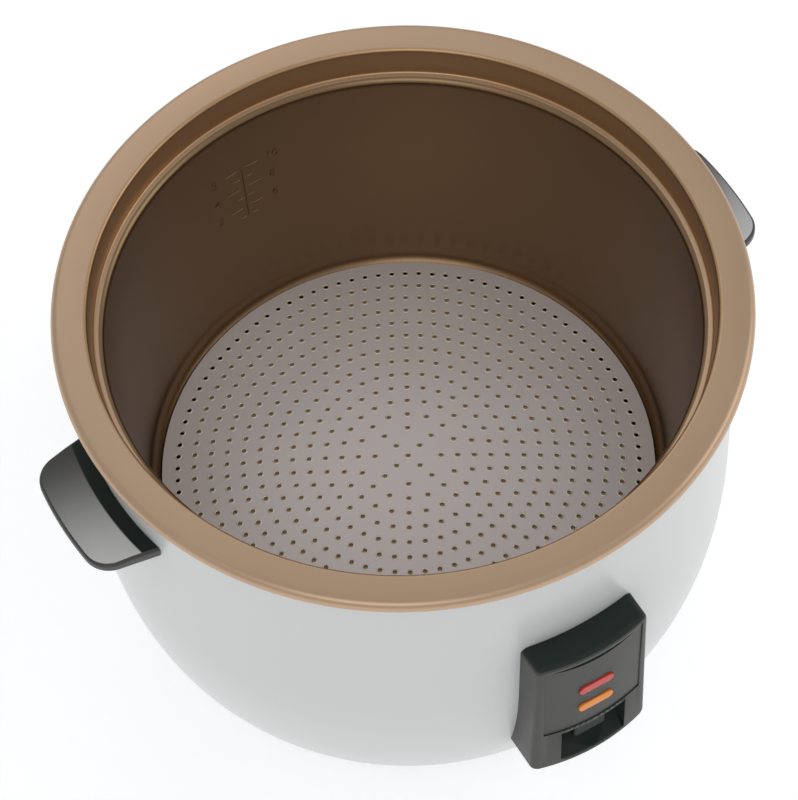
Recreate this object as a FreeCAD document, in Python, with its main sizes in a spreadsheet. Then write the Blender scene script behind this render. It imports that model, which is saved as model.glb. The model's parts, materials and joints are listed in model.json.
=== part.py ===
"""Electric rice cooker: pot, perforated plate, casing, handles, control panel, heater and magnetic switch.

Millimetres, +Z up. The origin is on the floor under the pot's axis. The panel faces -Y, the handles lie along X.
"""
import FreeCAD, Part
import math
import os
import Sketcher

V = FreeCAD.Vector

# Driving sizes: each is one cell of the sheet.
SIZES = {
    # Pot: aluminium with a flat rim, a throat and a ledge for the lid.
    "rim_radius": 180.0,
    "rim_round": 4.0,
    "rim_drop": 5.5,
    "pot_wall": 2.5,
    "lip_radius": 161.5,
    "lip_round": 2.5,
    "ledge_radius": 158.0,
    "ledge_depth": 17.0,
    "ledge_corner": 1.5,
    "shoulder_round": 4.5,
    "pot_depth": 163.0,
    "pot_floor_radius": 139.2,
    "pot_floor_round": 10.0,
    # Perforated plate: it rests by its edge on the pot's bottom corner.
    "plate_radius": 134.5,
    "plate_sheet": 1.0,
    "plate_lift": 2.5,
    "plate_hole_radius": 1.5,
    "plate_ring_pitch": 9.0,
    "plate_phase": 15.0,
    # Casing: pressed sheet, near upright above the knee and an elliptic bowl below it.
    "body_height": 245.0,
    "casing_sheet": 1.0,
    "casing_top_gap": 5.0,
    "casing_top_radius": 171.2,
    "casing_bend": 2.5,
    "casing_knee_radius": 172.3,
    "casing_knee_depth": 124.0,
    "casing_foot_radius": 123.0,
    "casing_hem_radius": 105.0,
    # Liner: the well that the pot stands in.
    "liner_sheet": 0.8,
    "liner_clearance": 1.5,
    "liner_foot_radius": 148.0,
    "liner_hole_radius": 60.0,
    # Base plate, feet and screws.
    "base_sheet": 1.2,
    "base_margin": 3.0,
    "foot_height": 7.0,
    "foot_top_radius": 12.5,
    "foot_bottom_radius": 11.0,
    "foot_circle_radius": 85.0,
    "vent_circle_radius": 62.0,
    "vent_length": 22.0,
    "vent_width": 4.0,
    "screw_radius": 2.0,
    "screw_head_radius": 3.6,
    "screw_head_height": 2.2,
    "screw_length": 10.0,
    "base_screw_circle": 113.0,
    # Handles: a wing with a sloped grip on a narrower root.
    "handle_reach": 202.5,
    "handle_root_half": 40.5,
    "handle_tip_half": 35.0,
    "handle_tip_round": 15.0,
    "handle_depth": 43.5,
    "handle_thickness": 7.5,
    "handle_crease_radius": 180.0,
    "handle_slope": 2.0,
    "handle_edge_round": 2.0,
    "handle_gap": 0.15,
    "finger_inset": 7.0,
    "finger_rise": 3.0,
    "handle_block_half": 24.0,
    "handle_block_reach": 180.0,
    "handle_block_height": 14.0,
    "handle_screw_half": 14.0,
    "handle_screw_drop": 7.0,
    # Control panel: a bowed housing with a facia, two lamps and the switch recess.
    "panel_reach": 190.0,
    "panel_bow_radius": 110.0,
    "panel_top_depth": 76.0,
    "panel_bottom_depth": 184.0,
    "panel_top_half": 33.0,
    "panel_bottom_half": 35.0,
    "panel_back": 150.0,
    "panel_wall": 2.5,
    "panel_front_wall": 9.0,
    "panel_round": 5.0,
    "panel_edge_round": 3.5,
    "panel_boss_radius": 4.0,
    "panel_boss_half": 23.0,
    "panel_boss_depth": 98.0,
    "facia_half": 29.0,
    "facia_top_depth": 81.0,
    "facia_bottom_depth": 146.0,
    "facia_set": 0.6,
    "facia_sheet": 2.0,
    "facia_scoop": 4.0,
    "lamp_half": 10.3,
    "lamp_radius": 3.3,
    "lamp_proud": 0.8,
    "lamp_body": 5.0,
    "cook_lamp_depth": 111.0,
    "warm_lamp_depth": 129.0,
    "bulb_radius": 2.6,
    "bulb_length": 12.0,
    "recess_half": 19.5,
    "recess_top_depth": 149.0,
    "recess_bottom_depth": 177.0,
    "recess_back": 176.0,
    "recess_wall": 2.0,
    # Switch: a key on a bent lever that tips on a pin under the liner.
    "key_half": 9.5,
    "key_depth": 158.0,
    "key_height": 10.0,
    "key_reach": 185.5,
    "key_length": 9.0,
    "key_round": 1.5,
    "lever_half": 6.0,
    "lever_sheet": 1.6,
    "lever_drop_reach": 155.0,
    "lever_height": 50.0,
    "lever_tail": 8.0,
    "lever_slot_half": 8.0,
    "lever_slot_rise": 9.0,
    "pivot_reach": 95.0,
    "pivot_drop": 4.0,
    "pivot_radius": 2.0,
    "pivot_boss_radius": 4.5,
    "bracket_sheet": 1.5,
    "bracket_half": 8.0,
    "bracket_length": 14.0,
    "bracket_foot": 7.0,
    "switch_reach": 70.0,
    "switch_length": 24.0,
    "switch_width": 10.0,
    "switch_height": 8.5,
    "plunger_radius": 1.5,
    "plunger_stroke": 3.0,
    "plunger_rest_gap": 0.5,
    # Heater: a cast plate on posts with a tubular element in its underside.
    "heater_radius": 115.0,
    "heater_thickness": 14.0,
    "heater_hole_radius": 21.0,
    "heater_edge_round": 3.0,
    "seat_gap": 0.4,
    "element_ring_radius": 80.0,
    "element_radius": 4.0,
    "element_tail_length": 22.0,
    "element_tail_angle": 12.0,
    "post_radius": 5.0,
    "post_height": 8.0,
    "post_circle_radius": 100.0,
    # Magnetic thermostat on the axis.
    "bridge_sheet": 1.6,
    "bridge_half_length": 72.0,
    "bridge_half_width": 17.0,
    "sleeve_radius": 13.0,
    "sleeve_wall": 1.0,
    "sleeve_height": 19.0,
    "cap_radius": 18.5,
    "cap_wall": 1.0,
    "cap_height": 19.0,
    "ferrite_radius": 11.0,
    "ferrite_height": 6.0,
    "magnet_radius": 10.5,
    "magnet_height": 5.0,
    "magnet_gap": 7.2,
    "rod_radius": 2.5,
    "rod_collar_radius": 5.0,
    "rod_collar_height": 2.5,
    "rod_tail": 5.0,
    "rod_clip_height": 1.5,
    "sensor_spring_radius": 15.2,
    "sensor_spring_wire": 0.7,
    "sensor_spring_turns": 5.0,
    "rod_spring_radius": 4.2,
    "rod_spring_wire": 0.35,
    "rod_spring_turns": 3.0,
    "spring_gap": 0.3,
    # Small electrical pieces.
    "warm_stat_radius": 8.0,
    "warm_stat_height": 7.0,
    "warm_stat_offset": 32.0,
    "fuse_radius": 2.2,
    "fuse_length": 26.0,
    "fuse_offset": 42.0,
    "block_length": 40.0,
    "block_width": 18.0,
    "block_height": 15.0,
    "block_offset": 55.0,
    "earth_offset": 60.0,
    # Power inlet at the back.
    "inlet_reach": 190.0,
    "inlet_half": 26.0,
    "inlet_height": 36.0,
    "inlet_middle": 70.0,
    "inlet_round": 4.0,
    "socket_half": 13.0,
    "socket_height": 19.0,
    "socket_depth": 20.0,
    "pin_width": 5.0,
    "pin_sheet": 2.0,
    "pin_length": 13.0,
    "pin_tail": 16.0,
    "pin_spacing": 7.0,
    "pin_rise": 4.0,
    # Fits.
    "fit_gap": 0.2,
    "running_gap": 0.05,
}

PLATE_RINGS = 14
HOLES_PER_STEP = 8
FIRST_RING_HOLES = 4
FEET = 4
VENTS = 12
POSTS = 3
WIRE_SIDES = 12

doc = FreeCAD.newDocument("RiceCooker")
sheet = doc.addObject("Spreadsheet::Sheet", "Sizes")
for row, (alias, value) in enumerate(SIZES.items(), start=1):
    sheet.set(f"A{row}", alias)
    sheet.set(f"B{row}", str(value))
    sheet.setAlias(f"B{row}", alias)
doc.recompute()


class Size:
    """A length known twice: as a formula over the sheet's cells and as its value now."""

    def __init__(self, formula, value):
        self.formula = formula
        self.value = value

    @staticmethod
    def of(other):
        return other if isinstance(other, Size) else Size(repr(float(other)), float(other))

    def __add__(self, other):
        other = Size.of(other)
        return Size(f"({self.formula} + {other.formula})", self.value + other.value)

    def __sub__(self, other):
        other = Size.of(other)
        return Size(f"({self.formula} - {other.formula})", self.value - other.value)

    def __mul__(self, other):
        other = Size.of(other)
        return Size(f"({self.formula} * {other.formula})", self.value * other.value)

    def __truediv__(self, other):
        other = Size.of(other)
        return Size(f"({self.formula} / {other.formula})", self.value / other.value)

    def __neg__(self):
        return Size(f"(0 - {self.formula})", -self.value)

    def root(self):
        return Size(f"sqrt({self.formula})", math.sqrt(self.value))


class Cells:
    """The sheet's cells as attributes."""

    def __getattr__(self, alias):
        return Size(f"Sizes.{alias}", float(sheet.get(alias)))


d = Cells()
ZERO = Size.of(0)


def leg(hypotenuse, side):
    """The other leg of a right triangle."""
    return (hypotenuse * hypotenuse - side * side).root()


def new_body(label):
    body = doc.addObject("PartDesign::Body", label)
    body.Label = label
    return body


def sketch_on(body, plane, name, offset=ZERO):
    """A sketch on one of the body's origin planes, moved along that plane's normal."""
    sketch = body.newObject("Sketcher::SketchObject", name)
    origin = next(f for f in body.Origin.OriginFeatures if f.Role == plane)
    sketch.AttachmentSupport = [(origin, "")]
    sketch.MapMode = "FlatFace"
    sketch.AttachmentOffset = FreeCAD.Placement(V(0, 0, offset.value), FreeCAD.Rotation())
    if offset is not ZERO:
        sketch.setExpression("AttachmentOffset.Base.z", offset.formula)
    return sketch


def bind(sketch, kind, *where, size):
    """A driving constraint that follows a formula."""
    index = sketch.addConstraint(Sketcher.Constraint(kind, *where, size.value))
    sketch.setExpression(f"Constraints[{index}]", size.formula)


def round_edge(start, end, radius, turn):
    """Arc from start to end; turn is +1 with its centre on the left of the way, -1 on the right."""
    chord = end - start
    left = V(-chord.y, chord.x, 0).normalize()
    reach = math.sqrt(max(radius * radius - chord.Length ** 2 / 4, 0.0))
    centre = (start + end) * 0.5 + left * (turn * reach)
    first, last = (start, end) if turn > 0 else (end, start)
    angles = [math.atan2(p.y - centre.y, p.x - centre.x) for p in (first, last)]
    return Part.ArcOfCircle(Part.Circle(centre, V(0, 0, 1), radius), *angles)


def oval_edge(start, end, centre):
    """Quarter ellipse between two points on its axes."""
    long_end, short_end = sorted((start, end), key=lambda p: -(p - centre).Length)
    oval = Part.Ellipse(long_end, short_end, centre)
    params = [oval.parameter(p) for p in (start, end)]
    if (params[1] - params[0]) % (2 * math.pi) > math.pi:
        params.reverse()
    return Part.ArcOfEllipse(oval, *params)


def draw(sketch, corners):
    """Closed outline. A corner is (across, up) or (across, up, bend); bend shapes the edge to the next corner.

    A bend is ("left" or "right", radius) for an arc, ("cap", radius, centre across) for a half circle,
    or ("oval", centre across, centre up) for a quarter ellipse.
    """
    points = [V(c[0].value, c[1].value, 0) for c in corners]
    ends = []
    for i, corner in enumerate(corners):
        start, end = points[i], points[(i + 1) % len(points)]
        bend = corner[2] if len(corner) > 2 else None
        if bend is None:
            edge = Part.LineSegment(start, end)
        elif bend[0] == "oval":
            edge = oval_edge(start, end, V(bend[1].value, bend[2].value, 0))
        else:
            edge = round_edge(start, end, bend[1].value, -1 if bend[0] == "right" else 1)
        index = sketch.addGeometry(edge)
        forward = bend is None or (edge.StartPoint - start).Length < (edge.EndPoint - start).Length
        ends.append((index, 1, 2) if forward else (index, 2, 1))
        if bend and bend[0] == "oval":
            bind(sketch, "DistanceX", index, 3, size=bend[1])
            bind(sketch, "DistanceY", index, 3, size=bend[2])
        elif bend and bend[0] == "cap":
            bind(sketch, "DistanceX", index, 3, size=bend[2])
        elif bend:
            bind(sketch, "Radius", index, size=bend[1])
    for i, corner in enumerate(corners):
        index, start, _ = ends[i]
        before, _, end = ends[i - 1]
        sketch.addConstraint(Sketcher.Constraint("Coincident", before, end, index, start))
        bind(sketch, "DistanceX", index, start, size=corner[0])
        bind(sketch, "DistanceY", index, start, size=corner[1])
    return sketch


def draw_circle(sketch, across, up, radius):
    index = sketch.addGeometry(Part.Circle(V(across.value, up.value, 0), V(0, 0, 1), radius.value))
    bind(sketch, "DistanceX", index, 3, size=across)
    bind(sketch, "DistanceY", index, 3, size=up)
    bind(sketch, "Radius", index, size=radius)
    return sketch


def box_corners(left, right, low, high):
    return [(left, low), (right, low), (right, high), (left, high)]


def stadium_corners(half, up, radius):
    """A bar with round ends, half long from its middle to its tips."""
    flat = half - radius
    return [(-flat, up - radius), (flat, up - radius, ("cap", radius, flat)), (flat, up + radius),
            (-flat, up + radius, ("cap", radius, -flat))]


def feature(body, kind, sketch, name):
    made = body.newObject(f"PartDesign::{kind}", name)
    made.Profile = sketch
    return made


def turn(body, sketch, name, kind="Revolution"):
    """Turns a sketch on an upright plane once about the Z axis."""
    made = feature(body, kind, sketch, name)
    made.ReferenceAxis = (sketch, ["V_Axis"])
    made.Angle = 360
    doc.recompute()
    return made


def pad(body, sketch, length, name, back=False, middle=False, kind="Pad"):
    """Pads or pockets a sketch by a length; a pocket must take something away."""
    before = body.Shape.Volume if kind == "Pocket" else 0.0
    made = feature(body, kind, sketch, name)
    made.Type = 0
    made.setExpression("Length", length.formula)
    made.Reversed = back
    made.SideType = "Symmetric" if middle else "One side"
    doc.recompute()
    if kind == "Pocket" and not made.Shape.Volume < before:
        raise ValueError(f"{name} cuts nothing")
    return made


def pocket(body, sketch, length, name, **options):
    return pad(body, sketch, length, name, kind="Pocket", **options)


def round_off(body, radius, name, chosen):
    """Rounds the tip's edges that the test picks."""
    tip = body.Tip
    names = [f"Edge{i}" for i, edge in enumerate(tip.Shape.Edges, start=1) if chosen(edge)]
    if not names:
        raise ValueError(f"{name} finds no edge")
    made = body.newObject("PartDesign::Fillet", name)
    made.Base = (tip, names)
    made.setExpression("Radius", radius.formula)
    doc.recompute()
    return made


def ring_at(radius, height):
    """Picks the level circle of a given radius and height."""
    def chosen(edge):
        middle = edge.valueAt((edge.FirstParameter + edge.LastParameter) / 2)
        level = edge.BoundBox.ZLength < 1e-6
        off_ring = abs(math.hypot(middle.x, middle.y) - radius.value)
        return level and off_ring < 0.01 and abs(middle.z - height.value) < 0.01
    return chosen


def upright_at(across, along):
    """Picks the upright straight edge at a place in plan."""
    def chosen(edge):
        box = edge.BoundBox
        flat = box.XLength < 1e-6 and box.YLength < 1e-6
        return flat and abs(box.XMin - across.value) < 0.01 and abs(box.YMin - along.value) < 0.01
    return chosen


def rod(name, radius, length, base, axis=V(0, 0, 1)):
    """A plain cylinder from its base point along an axis."""
    made = doc.addObject("Part::Cylinder", name)
    made.setExpression("Radius", radius.formula)
    made.setExpression("Height", length.formula)
    made.Placement = FreeCAD.Placement(V(*(b.value for b in base)), FreeCAD.Rotation(V(0, 0, 1), axis))
    for letter, place in zip("xyz", base):
        made.setExpression(f"Placement.Base.{letter}", place.formula)
    return made


def block(name, low, high):
    """A box between two corners."""
    made = doc.addObject("Part::Box", name)
    for side, letter, a, b in zip(("Length", "Width", "Height"), "xyz", low, high):
        made.setExpression(side, (b - a).formula)
        made.setExpression(f"Placement.Base.{letter}", a.formula)
    return made


def joined(label, pieces):
    made = doc.addObject("Part::MultiFuse", label)
    made.Shapes = pieces
    made.Label = label
    return made


def cut_from(label, base, tool):
    made = doc.addObject("Part::Cut", label)
    made.Base = base
    made.Tool = tool
    made.Label = label
    return made


def group(label, pieces):
    made = doc.addObject("Part::Compound", label)
    made.Links = pieces
    made.Label = label
    return made


def screw(name, seat, axis):
    """Pan-head screw: seat is the middle of the head's face, axis the way the shank points."""
    back = [place - d.screw_head_height * step for place, step in zip(seat, axis)]
    head = rod(f"{name}_head", d.screw_head_radius, d.screw_head_height, back, V(*axis))
    shank = rod(f"{name}_shank", d.screw_radius, d.screw_length, seat, V(*axis))
    return joined(name, [head, shank])


def around(count, radius, start=0.0):
    """Evenly spaced places on a circle about the axis."""
    for i in range(count):
        angle = math.radians(start + 360.0 * i / count)
        yield i, radius * math.cos(angle), radius * math.sin(angle)


# Levels that several pieces share.
casing_foot = d.foot_height + d.base_sheet
rim_top = casing_foot + d.body_height
casing_top = rim_top - d.casing_top_gap
casing_knee = rim_top - d.casing_knee_depth
ledge_level = rim_top - d.ledge_depth
pot_floor = rim_top - d.pot_depth
pot_under = pot_floor - d.pot_wall
heater_top = pot_under - d.seat_gap
heater_under = heater_top - d.heater_thickness
liner_floor = heater_under - d.post_height
liner_under = liner_floor - d.liner_sheet
bridge_under = liner_under - d.bridge_sheet
liner_radius = d.lip_radius + d.pot_wall + d.liner_clearance
lever_top = d.lever_height + d.lever_sheet / 2
pivot_height = d.lever_height - d.pivot_drop


def casing_radius(height):
    """Outer radius of the casing's upper wall at a height."""
    share = (casing_top - height) / (casing_top - casing_knee)
    return d.casing_top_radius + (d.casing_knee_radius - d.casing_top_radius) * share


def bowl_radius(height):
    """Outer radius of the casing's elliptic bowl at a height below the knee."""
    share = (casing_knee - height) / (casing_knee - casing_foot)
    return d.casing_foot_radius + (d.casing_knee_radius - d.casing_foot_radius) * leg(Size.of(1), share)


def screw_seat(across, level):
    """Distance from the axis of a screw's seat just inside the casing, at a place across and a level."""
    low = level - d.screw_head_radius
    outside = bowl_radius(low) if level.value < casing_knee.value else casing_radius(level)
    return leg(outside - d.casing_sheet, across + d.screw_head_radius) - d.fit_gap


def handle_screw_level():
    return rim_top - d.handle_depth - d.handle_thickness - d.handle_screw_drop


def lever_slot_corners():
    """Window that the switch lever passes through, about the key's middle."""
    middle = rim_top - d.key_depth - d.key_height / 2
    return box_corners(-d.lever_slot_half, d.lever_slot_half, middle - d.lever_slot_rise, middle + d.lever_slot_rise)


def make_pot():
    """Turned pot: floor, sloped wall, lid ledge, throat, flat rim and turned-down edge, one wall thick."""
    wall_top = d.ledge_radius - d.shoulder_round
    throat_foot = d.ledge_radius + d.ledge_corner
    corners = [
        (ZERO, pot_floor),
        (d.pot_floor_radius, pot_floor),
        (wall_top, ledge_level - d.shoulder_round, ("right", d.shoulder_round)),
        (d.ledge_radius, ledge_level, ("left", d.ledge_corner)),
        (throat_foot, ledge_level + d.ledge_corner),
        (d.lip_radius, rim_top - d.lip_round, ("right", d.lip_round)),
        (d.lip_radius + d.lip_round, rim_top),
        (d.rim_radius - d.rim_round, rim_top, ("right", d.rim_round)),
        (d.rim_radius, rim_top - d.rim_round),
        (d.rim_radius, rim_top - d.rim_drop),
        (d.rim_radius - d.pot_wall, rim_top - d.rim_drop),
        (d.rim_radius - d.pot_wall, rim_top - d.rim_round, ("left", d.rim_round - d.pot_wall)),
        (d.rim_radius - d.rim_round, rim_top - d.pot_wall),
        (d.lip_radius + d.pot_wall, rim_top - d.pot_wall),
        (throat_foot + d.pot_wall, ledge_level + d.ledge_corner, ("right", d.ledge_corner + d.pot_wall)),
        (d.ledge_radius, ledge_level - d.pot_wall, ("left", d.shoulder_round - d.pot_wall)),
        (wall_top + d.pot_wall, ledge_level - d.shoulder_round),
        (d.pot_floor_radius + d.pot_wall, pot_under),
        (ZERO, pot_under),
    ]
    body = new_body("inner_pot")
    turn(body, draw(sketch_on(body, "XZ_Plane", "PotProfile"), corners), "PotTurn")
    round_off(body, d.pot_floor_round, "PotInsideCorner", ring_at(d.pot_floor_radius, pot_floor))
    outside = d.pot_floor_round + d.pot_wall
    round_off(body, outside, "PotOutsideCorner", ring_at(d.pot_floor_radius + d.pot_wall, pot_under))
    return body


def make_plate():
    """Flat sheet disc: a centre hole, then rings whose hole count grows by one step from ring to ring."""
    pitch, phase = d.plate_ring_pitch.value, d.plate_phase.value
    circle = Part.makeCircle
    wires = [Part.Wire(circle(d.plate_radius.value)), Part.Wire(circle(d.plate_hole_radius.value))]
    for ring in range(1, PLATE_RINGS + 1):
        count = FIRST_RING_HOLES if ring == 1 else HOLES_PER_STEP * (ring - 1)
        for i in range(count):
            angle = math.radians(phase + 360.0 * i / count)
            centre = V(ring * pitch * math.cos(angle), ring * pitch * math.sin(angle), 0)
            wires.append(Part.Wire(circle(d.plate_hole_radius.value, centre)))
    face = Part.Face(wires, "Part::FaceMakerBullseye")
    plate = doc.addObject("Part::Feature", "perforated_plate")
    plate.Shape = face.extrude(V(0, 0, d.plate_sheet.value))
    plate.setExpression("Placement.Base.z", (pot_floor + d.plate_lift).formula)
    plate.Label = "perforated_plate"
    return plate


def casing_outline(gap):
    """The casing's outer line grown by a gap, from the flange corner down to the foot."""
    return [
        (d.casing_top_radius - d.casing_bend, casing_top + gap, ("right", d.casing_bend + gap)),
        (d.casing_top_radius + gap, casing_top - d.casing_bend),
        (d.casing_knee_radius + gap, casing_knee, ("oval", d.casing_foot_radius, casing_knee)),
        (d.casing_foot_radius, casing_foot - gap),
    ]


def trim_to_casing(body, name):
    """Takes away all that lies inside the casing's outside."""
    corners = [(ZERO, casing_top + d.fit_gap)] + casing_outline(d.fit_gap) + [(ZERO, casing_foot - d.fit_gap)]
    before = body.Shape.Volume
    made = turn(body, draw(sketch_on(body, "XZ_Plane", f"{name}Line"), corners), name, kind="Groove")
    if not made.Shape.Volume < before:
        raise ValueError(f"{name} cuts nothing")


def make_casing():
    """Pressed shell: inward flange at the top, upper wall, elliptic bowl and a hem for the base plate."""
    sheet_gap = d.casing_sheet
    flange = liner_radius + d.liner_sheet + d.fit_gap
    corners = [(flange, casing_top)] + casing_outline(ZERO) + [
        (d.casing_hem_radius, casing_foot),
        (d.casing_hem_radius, casing_foot + sheet_gap),
        (d.casing_foot_radius, casing_foot + sheet_gap, ("oval", d.casing_foot_radius, casing_knee)),
        (d.casing_knee_radius - sheet_gap, casing_knee),
        (d.casing_top_radius - sheet_gap, casing_top - d.casing_bend, ("left", d.casing_bend - sheet_gap)),
        (d.casing_top_radius - d.casing_bend, casing_top - sheet_gap),
        (flange, casing_top - sheet_gap),
    ]
    body = new_body("outer_casing")
    turn(body, draw(sketch_on(body, "XZ_Plane", "CasingProfile"), corners), "CasingTurn")
    slot = draw(sketch_on(body, "XZ_Plane", "LeverSlot"), lever_slot_corners())
    pocket(body, slot, d.panel_reach, "LeverSlotCut", back=True)
    for side, sign in (("Left", -1), ("Right", 1)):
        hole = sketch_on(body, "XZ_Plane", f"PanelHole{side}")
        draw_circle(hole, d.panel_boss_half * sign, rim_top - d.panel_boss_depth, d.screw_radius + d.fit_gap)
        pocket(body, hole, d.panel_reach, f"PanelHole{side}Cut", back=True)
    window = sketch_on(body, "XZ_Plane", "InletWindow")
    draw(window, box_corners(-d.socket_half, d.socket_half, d.inlet_middle - d.socket_height / 2,
                             d.inlet_middle + d.socket_height / 2))
    pocket(body, window, d.inlet_reach, "InletWindowCut")
    for side, sign in (("Left", -1), ("Right", 1)):
        hole = sketch_on(body, "XZ_Plane", f"InletHole{side}")
        draw_circle(hole, inlet_screw_place() * sign, d.inlet_middle, d.screw_radius + d.fit_gap)
        pocket(body, hole, d.inlet_reach, f"InletHole{side}Cut")
    for name, sign in (("Front", -1), ("Rear", 1)):
        hole = sketch_on(body, "YZ_Plane", f"HandleHole{name}")
        draw_circle(hole, d.handle_screw_half * sign, handle_screw_level(), d.screw_radius + d.fit_gap)
        pocket(body, hole, d.rim_radius * 2, f"HandleHole{name}Cut", middle=True)
    for i, x, y in around(FEET, d.base_screw_circle):
        hole = sketch_on(body, "XY_Plane", f"HemHole{i}")
        draw_circle(hole, x, y, d.screw_radius)
        pocket(body, hole, casing_foot + d.casing_sheet * 2, f"HemHole{i}Cut", back=True)
    return body


def inlet_screw_place():
    """How far an inlet screw stands from the middle: halfway between the socket and the housing's side."""
    return (d.socket_half + d.inlet_half) / 2


def make_liner():
    """The pot's well: flange on the casing, sloped wall and a floor with a large middle hole."""
    gauge = d.liner_sheet
    corners = [
        (liner_radius, casing_top + gauge),
        (d.casing_top_radius - d.casing_bend, casing_top + gauge),
        (d.casing_top_radius - d.casing_bend, casing_top),
        (liner_radius + gauge, casing_top),
        (d.liner_foot_radius + gauge, liner_under),
        (d.liner_hole_radius, liner_under),
        (d.liner_hole_radius, liner_floor),
        (d.liner_foot_radius, liner_floor),
    ]
    body = new_body("inner_liner")
    turn(body, draw(sketch_on(body, "XZ_Plane", "LinerProfile"), corners), "LinerTurn")
    for name, x, y in element_tails():
        hole = sketch_on(body, "XY_Plane", f"{name}Hole")
        draw_circle(hole, x, y, d.element_radius + d.liner_clearance)
        pocket(body, hole, heater_under, f"{name}HoleCut", back=True)
    return body


def element_tails():
    """Places in plan of the heating element's two upright tails, at the back."""
    for name, sign in (("TailLeft", 1), ("TailRight", -1)):
        angle = math.radians(90 + sign * d.element_tail_angle.value)
        yield name, d.element_ring_radius * math.cos(angle), d.element_ring_radius * math.sin(angle)


def make_base():
    """Base plate with a ring of vent slots, and its screws and feet."""
    body = new_body("base_plate")
    disc = draw_circle(sketch_on(body, "XY_Plane", "BaseDisc", d.foot_height), ZERO, ZERO,
                       d.casing_foot_radius - d.base_margin)
    pad(body, disc, d.base_sheet, "BasePad")
    for i, x, y in around(FEET, d.base_screw_circle):
        hole = sketch_on(body, "XY_Plane", f"BaseHole{i}", d.foot_height)
        draw_circle(hole, x, y, d.screw_radius + d.fit_gap)
        pocket(body, hole, d.base_sheet, f"BaseHole{i}Cut", back=True)
    slot = sketch_on(body, "XY_Plane", "Vent", d.foot_height)
    half = d.vent_length / 2
    draw(slot, box_corners(d.vent_circle_radius - half, d.vent_circle_radius + half,
                           -d.vent_width / 2, d.vent_width / 2))
    cut = pocket(body, slot, d.base_sheet, "VentCut", back=True)
    ring = body.newObject("PartDesign::PolarPattern", "VentRing")
    ring.Originals = [cut]
    ring.Axis = (slot, ["N_Axis"])
    ring.Occurrences = VENTS
    body.Tip = ring
    doc.recompute()
    feet = []
    for i, x, y in around(FEET, d.foot_circle_radius, 45.0):
        foot = doc.addObject("Part::Cone", f"Foot{i}")
        foot.setExpression("Radius1", d.foot_bottom_radius.formula)
        foot.setExpression("Radius2", d.foot_top_radius.formula)
        foot.setExpression("Height", d.foot_height.formula)
        foot.setExpression("Placement.Base.x", x.formula)
        foot.setExpression("Placement.Base.y", y.formula)
        feet.append(foot)
    screws = [screw(f"BaseScrew{i}", (x, y, d.foot_height), (0, 0, 1))
              for i, x, y in around(FEET, d.base_screw_circle)]
    return [body, group("rubber_feet", feet), group("base_screws", screws)]


def make_handle(label, angle):
    """Wing with a sloped grip and a finger groove on a root block; made at +X, then turned."""
    top = rim_top - d.handle_depth
    under = top - d.handle_thickness
    block_foot = under - d.handle_block_height
    seat = casing_radius(block_foot) + d.handle_gap
    body = new_body(label)
    tip_along = leg(d.handle_reach, d.handle_tip_half)
    wing = sketch_on(body, "XY_Plane", "Wing", under)
    draw(wing, [
        (leg(seat, d.handle_root_half), -d.handle_root_half),
        (tip_along, -d.handle_tip_half, ("left", d.handle_reach)),
        (tip_along, d.handle_tip_half),
        (leg(seat, d.handle_root_half), d.handle_root_half, ("right", seat)),
    ])
    pad(body, wing, d.handle_thickness, "WingPad")
    for name, sign in (("Front", -1), ("Rear", 1)):
        round_off(body, d.handle_tip_round, f"WingTip{name}", upright_at(tip_along, d.handle_tip_half * sign))
    slope = sketch_on(body, "XZ_Plane", "Slope")
    past = d.handle_reach + d.handle_slope
    draw(slope, [(d.handle_crease_radius, top), (past, top - d.handle_slope),
                 (past, top + d.handle_slope), (d.handle_crease_radius, top + d.handle_slope)])
    pocket(body, slope, d.handle_root_half * 2, "SlopeCut", middle=True)
    groove = sketch_on(body, "XZ_Plane", "FingerGroove")
    inner = d.handle_block_reach + d.finger_inset / 2
    outer = d.handle_reach - d.finger_inset
    draw(groove, [(inner, under), (outer, under), (outer - d.finger_rise / 2, under + d.finger_rise),
                  (inner + d.finger_rise / 2, under + d.finger_rise)])
    pocket(body, groove, d.handle_block_half * 2, "FingerGrooveCut", middle=True)
    def rim_edges(edge):
        box = edge.BoundBox
        middle = edge.valueAt((edge.FirstParameter + edge.LastParameter) / 2)
        level = box.ZLength < d.handle_slope.value + 0.01
        outside = math.hypot(middle.x, middle.y) > seat.value + 0.5 and box.YLength < d.handle_tip_half.value * 1.9
        grip = abs(abs(middle.y) - d.handle_block_half.value) > 0.01 and abs(middle.y) > d.handle_block_half.value
        return level and outside and grip or abs(middle.x - d.handle_reach.value) < 0.01
    round_off(body, d.handle_edge_round, "WingEdge", rim_edges)
    root = sketch_on(body, "XY_Plane", "Root", block_foot)
    near = leg(seat, d.handle_block_half)
    draw(root, [(near, -d.handle_block_half), (d.handle_block_reach, -d.handle_block_half),
                (d.handle_block_reach, d.handle_block_half), (near, d.handle_block_half, ("right", seat))])
    pad(body, root, d.handle_block_height, "RootPad")
    level = handle_screw_level()
    for name, sign in (("Front", -1), ("Rear", 1)):
        hole = sketch_on(body, "YZ_Plane", f"Screw{name}", screw_seat(d.handle_screw_half, level))
        draw_circle(hole, d.handle_screw_half * sign, level, d.screw_radius)
        pocket(body, hole, d.screw_length, f"Screw{name}Cut", back=True)
    body.Placement = FreeCAD.Placement(V(), FreeCAD.Rotation(V(0, 0, 1), angle))
    return body


def make_handle_screws():
    """Four screws from inside the casing into the handles' roots."""
    level = handle_screw_level()
    seat = screw_seat(d.handle_screw_half, level)
    screws = []
    for side, way in (("Left", -1), ("Right", 1)):
        for name, sign in (("Front", -1), ("Rear", 1)):
            place = (seat * way, d.handle_screw_half * sign, level)
            screws.append(screw(f"HandleScrew{side}{name}", place, (way, 0, 0)))
    return group("handle_screws", screws)


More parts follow.
